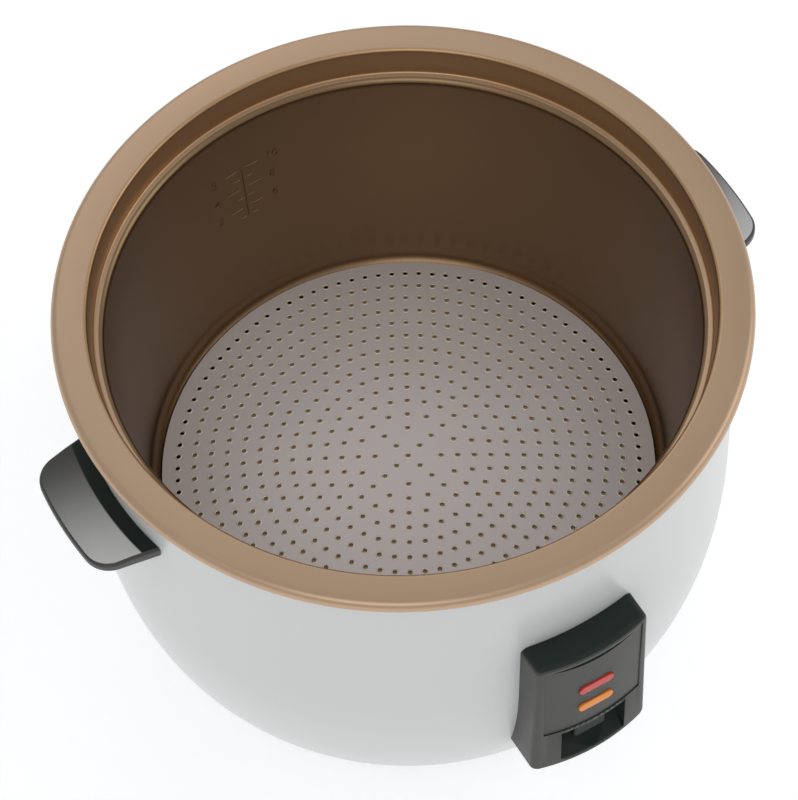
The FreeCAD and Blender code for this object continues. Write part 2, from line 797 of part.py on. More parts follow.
def bow_depth(across, inset=ZERO):
    """Distance from the axis of the panel's bowed front, set in by a little, at a place across it."""
    radius = d.panel_bow_radius - inset
    return d.panel_reach - d.panel_bow_radius + leg(radius, across)


def in_front_of_bow(half, inset):
    """Plan outline of all that lies in front of the bowed front, out to half on each side."""
    ahead = d.panel_reach + d.panel_wall
    reach = bow_depth(half, inset)
    return [(-half, -ahead), (half, -ahead), (half, -reach, ("right", d.panel_bow_radius - inset)),
            (-half, -reach)]


def make_panel():
    """Hollow bowed housing, trimmed to the casing, with the facia's seat and the switch recess."""
    top = rim_top - d.panel_top_depth
    low = rim_top - d.panel_bottom_depth
    depth = d.panel_reach - d.panel_back
    body = new_body("panel_housing")
    front = sketch_on(body, "XZ_Plane", "Front", d.panel_back)
    draw(front, [(-d.panel_bottom_half, low), (d.panel_bottom_half, low),
                 (d.panel_top_half, top), (-d.panel_top_half, top)])
    pad(body, front, depth, "FrontPad")

    def long_edges(edge):
        return abs(edge.BoundBox.YLength - depth.value) < 0.01
    round_off(body, d.panel_round, "PanelCorners", long_edges)
    bow = sketch_on(body, "XY_Plane", "Bow", low)
    draw(bow, in_front_of_bow(d.panel_bottom_half + d.panel_wall, ZERO))
    pocket(body, bow, top - low, "BowCut", back=True)

    def front_edges(edge):
        return edge.BoundBox.YMax < -bow_depth(d.panel_bottom_half).value + 0.01
    round_off(body, d.panel_edge_round, "FrontEdge", front_edges)
    cavity = sketch_on(body, "XZ_Plane", "Cavity", d.panel_back)
    wall = d.panel_wall
    draw(cavity, [(wall - d.panel_bottom_half, low + wall), (d.panel_bottom_half - wall, low + wall),
                  (d.panel_top_half - wall, top - wall), (wall - d.panel_top_half, top - wall)])
    pocket(body, cavity, depth - d.panel_front_wall, "CavityCut", back=True)
    boss_level = rim_top - d.panel_boss_depth
    for name, sign in (("Left", -1), ("Right", 1)):
        boss = sketch_on(body, "XZ_Plane", f"Boss{name}", d.panel_back)
        draw_circle(boss, d.panel_boss_half * sign, boss_level, d.panel_boss_radius)
        pad(body, boss, depth - d.panel_front_wall, f"Boss{name}Pad")
    trim_to_casing(body, "PanelSeat")
    recess_top = rim_top - d.recess_top_depth
    recess_low = rim_top - d.recess_bottom_depth
    rib = d.recess_wall
    tray = sketch_on(body, "XZ_Plane", "Tray", d.recess_back - rib)
    draw(tray, box_corners(-d.recess_half - rib, d.recess_half + rib, recess_low - rib, recess_top + rib))
    pad(body, tray, d.panel_reach - d.panel_front_wall - d.recess_back + rib, "TrayPad")
    seat = sketch_on(body, "XY_Plane", "FaciaSeat", rim_top - d.facia_bottom_depth - d.fit_gap)
    draw(seat, in_front_of_bow(d.facia_half + d.fit_gap, d.facia_set + d.facia_sheet + d.fit_gap))
    pocket(body, seat, d.facia_bottom_depth - d.facia_top_depth + d.fit_gap * 2, "FaciaSeatCut", back=True)
    for name, depth_down in (("Cook", d.cook_lamp_depth), ("Warm", d.warm_lamp_depth)):
        hole = sketch_on(body, "XZ_Plane", f"{name}Lamp", d.panel_back)
        draw(hole, stadium_corners(d.lamp_half + d.fit_gap, rim_top - depth_down, d.lamp_radius + d.fit_gap))
        pocket(body, hole, depth, f"{name}LampCut", back=True)
    recess = sketch_on(body, "XZ_Plane", "Recess", d.recess_back)
    draw(recess, box_corners(-d.recess_half, d.recess_half, recess_low, recess_top))
    pocket(body, recess, d.panel_reach - d.recess_back, "RecessCut", back=True)
    slot = draw(sketch_on(body, "XZ_Plane", "TraySlot", d.recess_back - rib), lever_slot_corners())
    pocket(body, slot, rib, "TraySlotCut", back=True)
    hole_start = screw_seat(d.panel_boss_half, boss_level)
    for name, sign in (("Left", -1), ("Right", 1)):
        hole = sketch_on(body, "XZ_Plane", f"Hole{name}", hole_start)
        draw_circle(hole, d.panel_boss_half * sign, boss_level, d.screw_radius)
        pocket(body, hole, d.screw_length, f"Hole{name}Cut", back=True)
    return body


def make_panel_screws():
    level = rim_top - d.panel_boss_depth
    screws = []
    for name, sign in (("Left", -1), ("Right", 1)):
        place = (d.panel_boss_half * sign, -screw_seat(d.panel_boss_half, level), level)
        screws.append(screw(f"PanelScrew{name}", place, (0, -1, 0)))
    return group("panel_screws", screws)


def make_facia():
    """Bowed plate in the housing's seat, with a slot for each lamp lens."""
    body = new_body("panel_facia")
    half = d.facia_half
    back = d.facia_set + d.facia_sheet
    plan = sketch_on(body, "XY_Plane", "Band", rim_top - d.facia_bottom_depth)
    draw(plan, [
        (-half, -bow_depth(half, d.facia_set), ("left", d.panel_bow_radius - d.facia_set)),
        (half, -bow_depth(half, d.facia_set)),
        (half, -bow_depth(half, back), ("right", d.panel_bow_radius - back)),
        (-half, -bow_depth(half, back)),
    ])
    pad(body, plan, d.facia_bottom_depth - d.facia_top_depth, "BandPad")
    top = rim_top - d.facia_top_depth
    past = top + d.facia_sheet
    arch = (half * half + d.facia_scoop * d.facia_scoop) / (d.facia_scoop * 2)
    scoop = sketch_on(body, "XZ_Plane", "Scoop", d.panel_back)
    draw(scoop, [(-half, top, ("left", arch)), (half, top), (half, past), (-half, past)])
    pocket(body, scoop, d.panel_reach - d.panel_back, "ScoopCut", back=True)
    for name, depth_down in (("Cook", d.cook_lamp_depth), ("Warm", d.warm_lamp_depth)):
        hole = sketch_on(body, "XZ_Plane", f"{name}Slot", d.panel_back)
        draw(hole, stadium_corners(d.lamp_half + d.fit_gap, rim_top - depth_down, d.lamp_radius + d.fit_gap))
        pocket(body, hole, d.panel_reach - d.panel_back, f"{name}SlotCut", back=True)
    return body


def make_lens(label, depth_down):
    """Bar lens with round ends that stands a little proud of the facia."""
    body = new_body(label)
    front = d.panel_reach - d.facia_set + d.lamp_proud
    bar = sketch_on(body, "XZ_Plane", "Bar", front - d.lamp_body)
    draw(bar, stadium_corners(d.lamp_half, rim_top - depth_down, d.lamp_radius))
    pad(body, bar, d.lamp_body, "BarPad")

    def front_edges(edge):
        return edge.BoundBox.YMax < -front.value + 0.01
    round_off(body, d.lamp_proud / 2, "LensEdge", front_edges)
    return body


def make_bulbs():
    """A neon lamp lying behind each lens."""
    start = d.panel_reach - d.facia_set + d.lamp_proud - d.lamp_body - d.bulb_radius - d.fit_gap
    bulbs = [rod(f"{name}Bulb", d.bulb_radius, d.bulb_length,
                 (-d.bulb_length / 2, -start, rim_top - depth_down), V(1, 0, 0))
             for name, depth_down in (("Cook", d.cook_lamp_depth), ("Warm", d.warm_lamp_depth))]
    return group("neon_lamps", bulbs)


def make_switch():
    """Key, bent lever with its pivot boss, hanging bracket, pivot pin, micro switch and plunger."""
    key_top = rim_top - d.key_depth
    key_middle = key_top - d.key_height / 2
    half_sheet = d.lever_sheet / 2
    key = new_body("switch_key")
    face = sketch_on(key, "XZ_Plane", "KeyFace", d.key_reach - d.key_length)
    draw(face, box_corners(-d.key_half, d.key_half, key_top - d.key_height, key_top))
    pad(key, face, d.key_length, "KeyPad")

    def nose_edges(edge):
        return edge.BoundBox.YMax < -d.key_reach.value + 0.01
    round_off(key, d.key_round, "KeyNose", nose_edges)
    root = sketch_on(key, "XZ_Plane", "KeySlot", d.key_reach - d.key_length)
    draw(root, box_corners(-d.lever_half, d.lever_half, key_middle - half_sheet, key_middle + half_sheet))
    pocket(key, root, d.key_length / 2, "KeySlotCut", back=True)

    lever = new_body("switch_lever")
    side = sketch_on(lever, "YZ_Plane", "LeverSide")
    front = -(d.key_reach - d.key_length / 2)
    drop = -d.lever_drop_reach
    draw(side, [
        (front, key_middle - half_sheet), (drop - half_sheet, key_middle - half_sheet),
        (drop - half_sheet, d.lever_height - half_sheet), (d.lever_tail, d.lever_height - half_sheet),
        (d.lever_tail, lever_top), (drop + half_sheet, lever_top),
        (drop + half_sheet, key_middle + half_sheet), (front, key_middle + half_sheet),
    ])
    pad(lever, side, d.lever_half * 2, "LeverPad", middle=True)
    boss = draw_circle(sketch_on(lever, "YZ_Plane", "Boss"), -d.pivot_reach, pivot_height, d.pivot_boss_radius)
    pad(lever, boss, d.lever_half * 2, "BossPad", middle=True)
    bore = draw_circle(sketch_on(lever, "YZ_Plane", "Bore"), -d.pivot_reach, pivot_height,
                       d.pivot_radius + d.running_gap)
    pocket(lever, bore, d.lever_half * 2, "BoreCut", middle=True)
    eye = draw_circle(sketch_on(lever, "XY_Plane", "Eye"), ZERO, ZERO, d.rod_radius + d.liner_clearance)
    pocket(lever, eye, d.lever_height * 2, "EyeCut", back=True)

    bracket = new_body("lever_bracket")
    outer = d.bracket_half + d.bracket_sheet
    ear_foot = pivot_height - d.bracket_foot
    bend = sketch_on(bracket, "XZ_Plane", "BracketBend", d.pivot_reach)
    draw(bend, [(-outer, ear_foot), (-d.bracket_half, ear_foot), (-d.bracket_half, liner_under - d.bracket_sheet),
                (d.bracket_half, liner_under - d.bracket_sheet), (d.bracket_half, ear_foot), (outer, ear_foot),
                (outer, liner_under), (-outer, liner_under)])
    pad(bracket, bend, d.bracket_length, "BracketPad", middle=True)
    hole = draw_circle(sketch_on(bracket, "YZ_Plane", "PinHole"), -d.pivot_reach, pivot_height, d.pivot_radius)
    pocket(bracket, hole, outer * 2, "PinHoleCut", middle=True)
    pin = rod("lever_pivot_pin", d.pivot_radius, outer * 2, (-outer, -d.pivot_reach, pivot_height), V(1, 0, 0))
    pin.Label = "lever_pivot_pin"

    switch_foot = liner_under - d.switch_height
    middle = -d.switch_reach
    case = block("SwitchCase", (-d.switch_width / 2, middle - d.switch_length / 2, switch_foot),
                 (d.switch_width / 2, middle + d.switch_length / 2, liner_under))
    plunger_foot = lever_top + d.plunger_rest_gap
    inside = switch_foot + d.plunger_stroke
    well = rod("PlungerWell", d.plunger_radius + d.running_gap, inside + d.plunger_stroke - switch_foot,
               (ZERO, middle, switch_foot))
    micro = cut_from("micro_switch", case, well)
    plunger = rod("switch_plunger", d.plunger_radius, inside - plunger_foot, (ZERO, middle, plunger_foot))
    plunger.Label = "switch_plunger"
    return [key, lever, bracket, pin, micro, plunger]


def make_heater():
    """Cast plate with a ring channel below for the element, the element with its tails, and the posts."""
    body = new_body("heater_plate")
    channel = d.element_radius + d.fit_gap
    ring = d.element_ring_radius
    corners = [(d.heater_hole_radius, heater_under), (ring - channel, heater_under),
               (ring - channel, heater_under + channel * 2), (ring + channel, heater_under + channel * 2),
               (ring + channel, heater_under), (d.heater_radius, heater_under),
               (d.heater_radius, heater_top), (d.heater_hole_radius, heater_top)]
    turn(body, draw(sketch_on(body, "XZ_Plane", "HeaterProfile"), corners), "HeaterTurn")
    round_off(body, d.heater_edge_round, "HeaterEdge", ring_at(d.heater_radius, heater_top))
    coil = doc.addObject("Part::Torus", "ElementRing")
    coil.setExpression("Radius1", ring.formula)
    coil.setExpression("Radius2", d.element_radius.formula)
    coil.setExpression("Placement.Base.z", (heater_under + channel).formula)
    tails = [rod(name, d.element_radius * 0.75, d.element_tail_length,
                 (x, y, heater_under + channel - d.element_tail_length)) for name, x, y in element_tails()]
    element = joined("heating_element", [coil] + tails)
    posts = [rod(f"Post{i}", d.post_radius, d.post_height, (x, y, liner_floor))
             for i, x, y in around(POSTS, d.post_circle_radius, 30.0)]
    return [body, element, group("heater_posts", posts)]


def spring(label, radius, wire, turns, low, high):
    """Open coil of many-sided wire between two levels, with its ends' centres a wire inside them."""
    height = high.value - low.value - 2 * wire.value
    helix = Part.makeLongHelix(height / turns.value, height, radius.value)
    angles = [2 * math.pi * i / WIRE_SIDES for i in range(WIRE_SIDES + 1)]
    points = [V(radius.value + wire.value * math.cos(a), 0, wire.value * math.sin(a)) for a in angles]
    section = Part.makePolygon(points)
    made = doc.addObject("Part::Feature", label)
    made.Shape = Part.Wire(helix).makePipeShell([section], True, True)
    made.setExpression("Placement.Base.z", (low + wire).formula)
    made.Label = label
    return made


def turned(label, corners):
    """A simple turned piece from its half section."""
    body = new_body(label)
    turn(body, draw(sketch_on(body, "XZ_Plane", f"{label}_section"), corners), f"{label}_turn")
    return body


def make_thermostat():
    """Bridge under the liner, sleeve, sensor cap with its ferrite, magnet on its rod, and both springs."""
    cap_top = heater_top
    cap_under = cap_top - d.cap_wall
    ferrite_foot = cap_under - d.ferrite_height
    magnet_top = ferrite_foot - d.magnet_gap
    magnet_foot = magnet_top - d.magnet_height
    sleeve_inner = d.sleeve_radius - d.sleeve_wall
    bore = d.rod_radius + d.fit_gap
    strip = block("BridgeStrip", (-d.bridge_half_length, -d.bridge_half_width, bridge_under),
                  (d.bridge_half_length, d.bridge_half_width, liner_under))
    way = rod("BridgeBore", bore, d.bridge_sheet, (ZERO, ZERO, bridge_under))
    bridge = cut_from("thermostat_bridge", strip, way)
    sleeve = turned("thermostat_sleeve", [
        (bore, liner_under), (d.sleeve_radius, liner_under), (d.sleeve_radius, liner_under + d.sleeve_height),
        (sleeve_inner, liner_under + d.sleeve_height), (sleeve_inner, liner_under + d.sleeve_wall),
        (bore, liner_under + d.sleeve_wall)])
    cap = turned("sensor_cap", [
        (ZERO, cap_top), (ZERO, cap_under), (d.cap_radius - d.cap_wall, cap_under),
        (d.cap_radius - d.cap_wall, cap_top - d.cap_height), (d.cap_radius, cap_top - d.cap_height),
        (d.cap_radius, cap_top)])
    ferrite = rod("soft_ferrite", d.ferrite_radius, d.ferrite_height, (ZERO, ZERO, ferrite_foot))
    ferrite.Label = "soft_ferrite"
    magnet = rod("pull_magnet", d.magnet_radius, d.magnet_height, (ZERO, ZERO, magnet_foot))
    magnet.Label = "pull_magnet"
    collar_foot = lever_top + d.plunger_rest_gap
    collar_top = collar_foot + d.rod_collar_height
    tail = d.lever_height - d.lever_sheet / 2 - d.rod_tail
    pull = turned("pull_rod", [
        (ZERO, tail), (d.rod_collar_radius, tail), (d.rod_collar_radius, tail + d.rod_clip_height),
        (d.rod_radius, tail + d.rod_clip_height), (d.rod_radius, collar_foot), (d.rod_collar_radius, collar_foot),
        (d.rod_collar_radius, collar_top), (d.rod_radius, collar_top), (d.rod_radius, magnet_foot),
        (ZERO, magnet_foot)])
    outer_coil = spring("sensor_spring", d.sensor_spring_radius, d.sensor_spring_wire, d.sensor_spring_turns,
                        liner_under + d.spring_gap, cap_under - d.spring_gap)
    inner_coil = spring("rod_spring", d.rod_spring_radius, d.rod_spring_wire, d.rod_spring_turns,
                        collar_top + d.spring_gap, bridge_under - d.spring_gap)
    return [bridge, sleeve, cap, ferrite, magnet, pull, outer_coil, inner_coil]


def make_electrics():
    """Keep-warm thermostat, thermal fuse, terminal block and earth screw."""
    offset = d.warm_stat_offset
    stat = rod("warm_thermostat", d.warm_stat_radius, d.warm_stat_height,
               (offset, offset, heater_under - d.warm_stat_height))
    stat.Label = "warm_thermostat"
    fuse = rod("thermal_fuse", d.fuse_radius, d.fuse_length,
               (-d.fuse_length / 2, -d.fuse_offset, heater_under - d.fuse_radius), V(1, 0, 0))
    fuse.Label = "thermal_fuse"
    half = d.block_length / 2
    body = block("BlockBody", (-half, d.block_offset, casing_foot),
                 (half, d.block_offset + d.block_width, casing_foot + d.block_height))
    wells = []
    for name, sign in (("Left", -1), ("Middle", 0), ("Right", 1)):
        place = (d.block_length / 3 * sign, d.block_offset + d.block_width / 2, casing_foot + d.block_height / 2)
        wells.append(rod(f"Well{name}", d.screw_head_radius, d.block_height, place))
    terminals = cut_from("terminal_block", body, group("BlockWells", wells))
    earth = screw("earth_screw", (d.earth_offset, ZERO, casing_foot + d.screw_length), (0, 0, -1))
    return [stat, fuse, terminals, earth]


def make_inlet():
    """Saddle trimmed to the casing with a socket, its three pins and two screws."""
    body = new_body("inlet_housing")
    low = d.inlet_middle - d.inlet_height / 2
    high = d.inlet_middle + d.inlet_height / 2
    depth = d.inlet_reach - d.panel_back
    outline = sketch_on(body, "XZ_Plane", "InletFace", -d.panel_back)
    draw(outline, box_corners(-d.inlet_half, d.inlet_half, low, high))
    pad(body, outline, depth, "InletPad", back=True)

    def long_edges(edge):
        return abs(edge.BoundBox.YLength - depth.value) < 0.01
    round_off(body, d.inlet_round, "InletCorners", long_edges)
    trim_to_casing(body, "InletSeat")
    socket = sketch_on(body, "XZ_Plane", "Socket", d.socket_depth - d.inlet_reach)
    draw(socket, box_corners(-d.socket_half, d.socket_half, d.inlet_middle - d.socket_height / 2,
                             d.inlet_middle + d.socket_height / 2))
    pocket(body, socket, d.socket_depth, "SocketCut")
    floor = d.inlet_reach - d.socket_depth
    pins = []
    for name, across, up in (("Left", -1, -1), ("Right", 1, -1), ("Earth", 0, 1)):
        x = d.pin_spacing * across
        z = d.inlet_middle + d.pin_rise * up
        pins.append(block(f"Pin{name}", (x - d.pin_sheet / 2, floor - d.pin_tail, z - d.pin_width / 2),
                          (x + d.pin_sheet / 2, floor + d.pin_length, z + d.pin_width / 2)))
        slit = sketch_on(body, "XZ_Plane", f"Slit{name}", -floor)
        draw(slit, box_corners(x - d.pin_sheet / 2, x + d.pin_sheet / 2, z - d.pin_width / 2, z + d.pin_width / 2))
        pocket(body, slit, d.pin_tail, f"Slit{name}Cut", back=True)
    place = inlet_screw_place()
    seat = screw_seat(place, d.inlet_middle)
    screws = []
    for name, sign in (("Left", -1), ("Right", 1)):
        hole = sketch_on(body, "XZ_Plane", f"InletScrew{name}", -seat)
        draw_circle(hole, place * sign, d.inlet_middle, d.screw_radius)
        pocket(body, hole, d.screw_length, f"InletScrew{name}Cut")
        screws.append(screw(f"InletScrewPart{name}", (place * sign, seat, d.inlet_middle), (0, 1, 0)))
    return [body, group("inlet_pins", pins), group("inlet_screws", screws)]


parts = [
    make_pot(), make_plate(), make_casing(), make_liner(), *make_base(),
    make_handle("handle_right", 0), make_handle("handle_left", 180), make_handle_screws(),
    make_panel(), make_panel_screws(), make_facia(),
    make_lens("cook_lamp_lens", d.cook_lamp_depth), make_lens("warm_lamp_lens", d.warm_lamp_depth), make_bulbs(),
    *make_switch(), *make_heater(), *make_thermostat(), *make_electrics(), *make_inlet(),
]
doc.recompute()

for thing in doc.Objects:
    if {"Invalid", "Error"} & set(thing.State):
        raise ValueError(f"{thing.Label} failed: {thing.State}")
for part in parts:
    if part.Shape.isNull() or not part.Shape.isValid() or not part.Shape.Solids:
        raise ValueError(f"{part.Label} has no valid solid")

os.makedirs("parts", exist_ok=True)
for part in parts:
    part.Shape.exportStep(f"parts/{part.Label}.step")
    print(part.Label, len(part.Shape.Solids), round(part.Shape.Volume, 1))
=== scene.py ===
# %% [markdown]
# # A large rice cooker seen from above
# The cooker is a brown anodised pot in a white casing, with a perforated plate on the pot's floor, two black side
# handles and a control panel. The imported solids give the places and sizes. This file adds smooth surfaces, finishes,
# light and the camera, one piece at a time.

# %% Load the frame
import json
import bmesh
import bpy
import numpy as np
from mathutils import Matrix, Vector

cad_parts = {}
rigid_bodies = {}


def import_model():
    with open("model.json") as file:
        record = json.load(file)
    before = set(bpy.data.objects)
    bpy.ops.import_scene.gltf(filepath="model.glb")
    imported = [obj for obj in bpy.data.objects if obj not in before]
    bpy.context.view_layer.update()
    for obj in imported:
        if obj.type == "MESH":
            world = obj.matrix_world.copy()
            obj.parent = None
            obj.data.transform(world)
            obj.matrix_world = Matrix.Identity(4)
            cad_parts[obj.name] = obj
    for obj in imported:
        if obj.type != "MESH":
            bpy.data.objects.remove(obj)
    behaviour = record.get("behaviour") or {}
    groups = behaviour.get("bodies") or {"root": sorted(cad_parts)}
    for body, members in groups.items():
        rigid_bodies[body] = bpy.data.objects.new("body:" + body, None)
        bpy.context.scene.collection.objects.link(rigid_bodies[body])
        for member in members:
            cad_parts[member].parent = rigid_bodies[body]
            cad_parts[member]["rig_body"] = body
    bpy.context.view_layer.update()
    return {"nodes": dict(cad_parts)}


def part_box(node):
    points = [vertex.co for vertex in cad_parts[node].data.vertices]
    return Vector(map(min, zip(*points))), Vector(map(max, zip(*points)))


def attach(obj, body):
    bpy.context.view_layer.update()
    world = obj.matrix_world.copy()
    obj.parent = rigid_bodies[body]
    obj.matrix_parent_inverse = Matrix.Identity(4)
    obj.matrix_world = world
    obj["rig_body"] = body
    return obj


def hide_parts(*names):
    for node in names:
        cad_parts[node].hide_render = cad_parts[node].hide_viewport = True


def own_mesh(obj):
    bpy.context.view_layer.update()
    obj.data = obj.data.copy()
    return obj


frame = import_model()
nodes = frame["nodes"]
MM = 0.001
rim_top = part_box("inner_pot")[1].z

# %% [markdown]
# ## Camera
# A camera can be placed by eye or worked out. Here the rim, the plate's holes and the casing's outline were fitted,
# so the camera is given by where it stands round the pot's axis, how high it looks from, how far away it is and how
# much it rolls. A long lens keeps the rim's two sides nearly parallel, as a product photographer would choose.

# %% Camera
AZIMUTH, ELEVATION, ROLL = np.radians([-28.8, 57.235, 2.298])
DISTANCE = 1917.8 * MM
AIM_RIGHT = -3.726 * MM
AIM_UP = -50.953 * MM
FOCAL_PIXELS = 3759.9
IMAGE_HEIGHT = 800
SENSOR_WIDTH = 36.0
CLIP_START = 0.05


def add_object(name, data):
    """A new object of the scene, at the origin."""
    made = bpy.data.objects.new(name, data)
    bpy.context.scene.collection.objects.link(made)
    return made


def stand(thing, right, up, back, place):
    """Puts a camera or lamp at a place, with its X, Y and Z axes right, up and back, so it looks away from back."""
    axes = np.column_stack([right, up, back, place])
    thing.matrix_world = Matrix(np.vstack([axes, [0, 0, 0, 1]]).tolist())


back = np.array([np.sin(AZIMUTH) * np.cos(ELEVATION),
                 -np.cos(AZIMUTH) * np.cos(ELEVATION),
                 np.sin(ELEVATION)])
level_right = np.array([np.cos(AZIMUTH), np.sin(AZIMUTH), 0.0])
level_up = np.cross(back, level_right)
right = np.cos(ROLL) * level_right - np.sin(ROLL) * level_up
up = np.sin(ROLL) * level_right + np.cos(ROLL) * level_up
eye = np.array([0.0, 0.0, rim_top]) + back * DISTANCE + level_right * AIM_RIGHT + level_up * AIM_UP

camera = add_object("camera", bpy.data.cameras.new("camera"))
camera.data.sensor_width = SENSOR_WIDTH
camera.data.lens = FOCAL_PIXELS * SENSOR_WIDTH / IMAGE_HEIGHT
camera.data.clip_start = CLIP_START
stand(camera, right, up, back, eye)
bpy.context.scene.camera = camera
print("camera at", np.round(eye, 3).tolist(), "lens", round(camera.data.lens, 1))

# %% [markdown]
# ## Floor and light
# The studio is a pale floor, an even pale sky and three large soft lamps. Polished metal shows its surroundings more
# than its own colour, so the lamps are placed for what the pot and the black plastic reflect.

# %% Floor and light
SKY_STRENGTH = 0.62
POT_MIDDLE = (0.0, 0.0, 0.15)
FLOOR_HALF = 6.0

bpy.context.scene.view_settings.view_transform = "Standard"
world = bpy.data.worlds.new("studio")
world.use_nodes = True
sky = world.node_tree.nodes["Background"]
sky.inputs["Color"].default_value = (1.0, 1.0, 1.0, 1.0)
sky.inputs["Strength"].default_value = SKY_STRENGTH
bpy.context.scene.world = world


def soft_lamp(name, place, size, watts):
    """A square lamp at a place, with its face turned to the pot's middle."""
    lamp = add_object(name, bpy.data.lights.new(name, "AREA"))
    lamp.data.size = size
    lamp.data.energy = watts
    away = np.array(place) - np.array(POT_MIDDLE)
    away = away / np.linalg.norm(away)
    side = np.cross([0.0, 0.0, 1.0], away)
    side = side / np.linalg.norm(side)
    stand(lamp, side, np.cross(away, side), away, place)


soft_lamp("key_lamp", (-0.9, -1.1, 1.9), size=1.2, watts=5.5)
soft_lamp("fill_lamp", (1.6, -0.6, 1.2), size=1.2, watts=5.0)
soft_lamp("back_lamp", (0.4, 1.6, 1.7), size=1.0, watts=2.0)

floor_corners = [(x * FLOOR_HALF, y * FLOOR_HALF, 0) for x, y in ((-1, -1), (1, -1), (1, 1), (-1, 1))]
floor_mesh = bpy.data.meshes.new("floor")
floor_mesh.from_pydata(floor_corners, [], [(0, 1, 2, 3)])
floor = add_object("floor", floor_mesh)

# %% [markdown]
# ## Finishes
# A finish can be one flat colour, but real surfaces never are: anodising drifts in tone, enamel has a slight orange
# peel, moulded plastic has a fine grain. Each finish here is a shader with two noises on the piece's own coordinates:
# a slow one that moves colour and gloss, and a fine one that raises the surface.

# %% Shader helpers
# Places of a colour mix's share and two colours among its inputs, and of its colour among its outputs.
SHARE, COLOUR_A, COLOUR_B, COLOUR_OUT = 0, 6, 7, 2
# Most values of a noise lie between these two.
NOISE_LOW, NOISE_HIGH = 0.3, 0.7
GRAIN_HEIGHT = 0.5 * MM
RING_SOFTNESS = 0.4 * MM


def add_node(tree, kind, **values):
    """A shader node with its settings, and its inputs where the name is an input's."""
    node = tree.nodes.new(kind)
    for name, value in values.items():
        if name in node.inputs:
            node.inputs[name].default_value = value
        else:
            setattr(node, name, value)
    return node


def span(tree, low, high, to=(0.0, 1.0), **values):
    """A node that carries the values from low to high onto those between the two values of to."""
    node = add_node(tree, "ShaderNodeMapRange", **values)
    for name, value in zip(("From Min", "From Max", "To Min", "To Max"), (low, high, *to)):
        node.inputs[name].default_value = value
    return node


def share_along(tree, place, run):
    """A value that goes softly from 0 to 1 between two places on an axis of the piece."""
    axis, start, end = run
    split = add_node(tree, "ShaderNodeSeparateXYZ")
    along = span(tree, start, end, interpolation_type="SMOOTHSTEP")
    tree.links.new(place, split.inputs["Vector"])
    tree.links.new(split.outputs[axis], along.inputs["Value"])
    return along.outputs["Result"]


def colour_by_ring(tree, place, ring, outer_colour):
    """The ring's own colour where the root of x squared + y squared is below its radius, else the outer colour."""
    radius, inner_colour = ring
    flat = add_node(tree, "ShaderNodeVectorMath", operation="MULTIPLY")
    flat.inputs[1].default_value = (1.0, 1.0, 0.0)
    away = add_node(tree, "ShaderNodeVectorMath", operation="LENGTH")
    edge = span(tree, radius - RING_SOFTNESS, radius + RING_SOFTNESS)
    parted = add_node(tree, "ShaderNodeMix", data_type="RGBA")
    parted.inputs[COLOUR_A].default_value = (*inner_colour, 1.0)
    tree.links.new(place, flat.inputs[0])
    tree.links.new(flat.outputs["Vector"], away.inputs[0])
    tree.links.new(away.outputs["Value"], edge.inputs["Value"])
    tree.links.new(edge.outputs["Result"], parted.inputs[SHARE])
    tree.links.new(outer_colour, parted.inputs[COLOUR_B])
    return parted.outputs[COLOUR_OUT]


# %% Finish helper
def finish(name, dark, light, gloss, metal=0.0, drift=18.0, grain=900.0, relief=0.02,
           run=None, ring=None, **sockets):
    """A finish: colour between dark and light, roughness between the two gloss values, and a fine raised grain.

    With a run (axis, start, end), the colour goes from dark to light along that axis of the piece instead of
    drifting. With a ring (radius, colour), another colour takes its place nearer than the radius to the Z axis.
    """
    made = bpy.data.materials.new(name)
    made.use_nodes = True
    tree = made.node_tree
    shader = tree.nodes["Principled BSDF"]
    shader.inputs["Metallic"].default_value = metal
    for socket, value in sockets.items():
        shader.inputs[socket.replace("_", " ")].default_value = value
    place = add_node(tree, "ShaderNodeTexCoord").outputs["Object"]
    slow = add_node(tree, "ShaderNodeTexNoise", Scale=drift, Detail=4.0)
    fine = add_node(tree, "ShaderNodeTexNoise", Scale=grain, Detail=2.0)
    tint = add_node(tree, "ShaderNodeMix", data_type="RGBA")
    tint.inputs[COLOUR_A].default_value = (*dark, 1.0)
    tint.inputs[COLOUR_B].default_value = (*light, 1.0)
    sheen = span(tree, NOISE_LOW, NOISE_HIGH, to=gloss)
    bump = add_node(tree, "ShaderNodeBump", Strength=relief, Distance=GRAIN_HEIGHT)
    link = tree.links.new
    link(place, slow.inputs["Vector"])
    link(place, fine.inputs["Vector"])
    link(share_along(tree, place, run) if run else slow.outputs["Fac"], tint.inputs[SHARE])
    colour = tint.outputs[COLOUR_OUT]
    if ring:
        colour = colour_by_ring(tree, place, ring, colour)
    link(colour, shader.inputs["Base Color"])
    link(slow.outputs["Fac"], sheen.inputs["Value"])
    link(sheen.outputs["Result"], shader.inputs["Roughness"])
    link(fine.outputs["Fac"], bump.inputs["Height"])
    link(bump.outputs["Normal"], shader.inputs["Normal"])
    return made


def dress(piece, material):
    """One finish for the whole piece."""
    piece.data.materials.clear()
    piece.data.materials.append(material)
    return piece
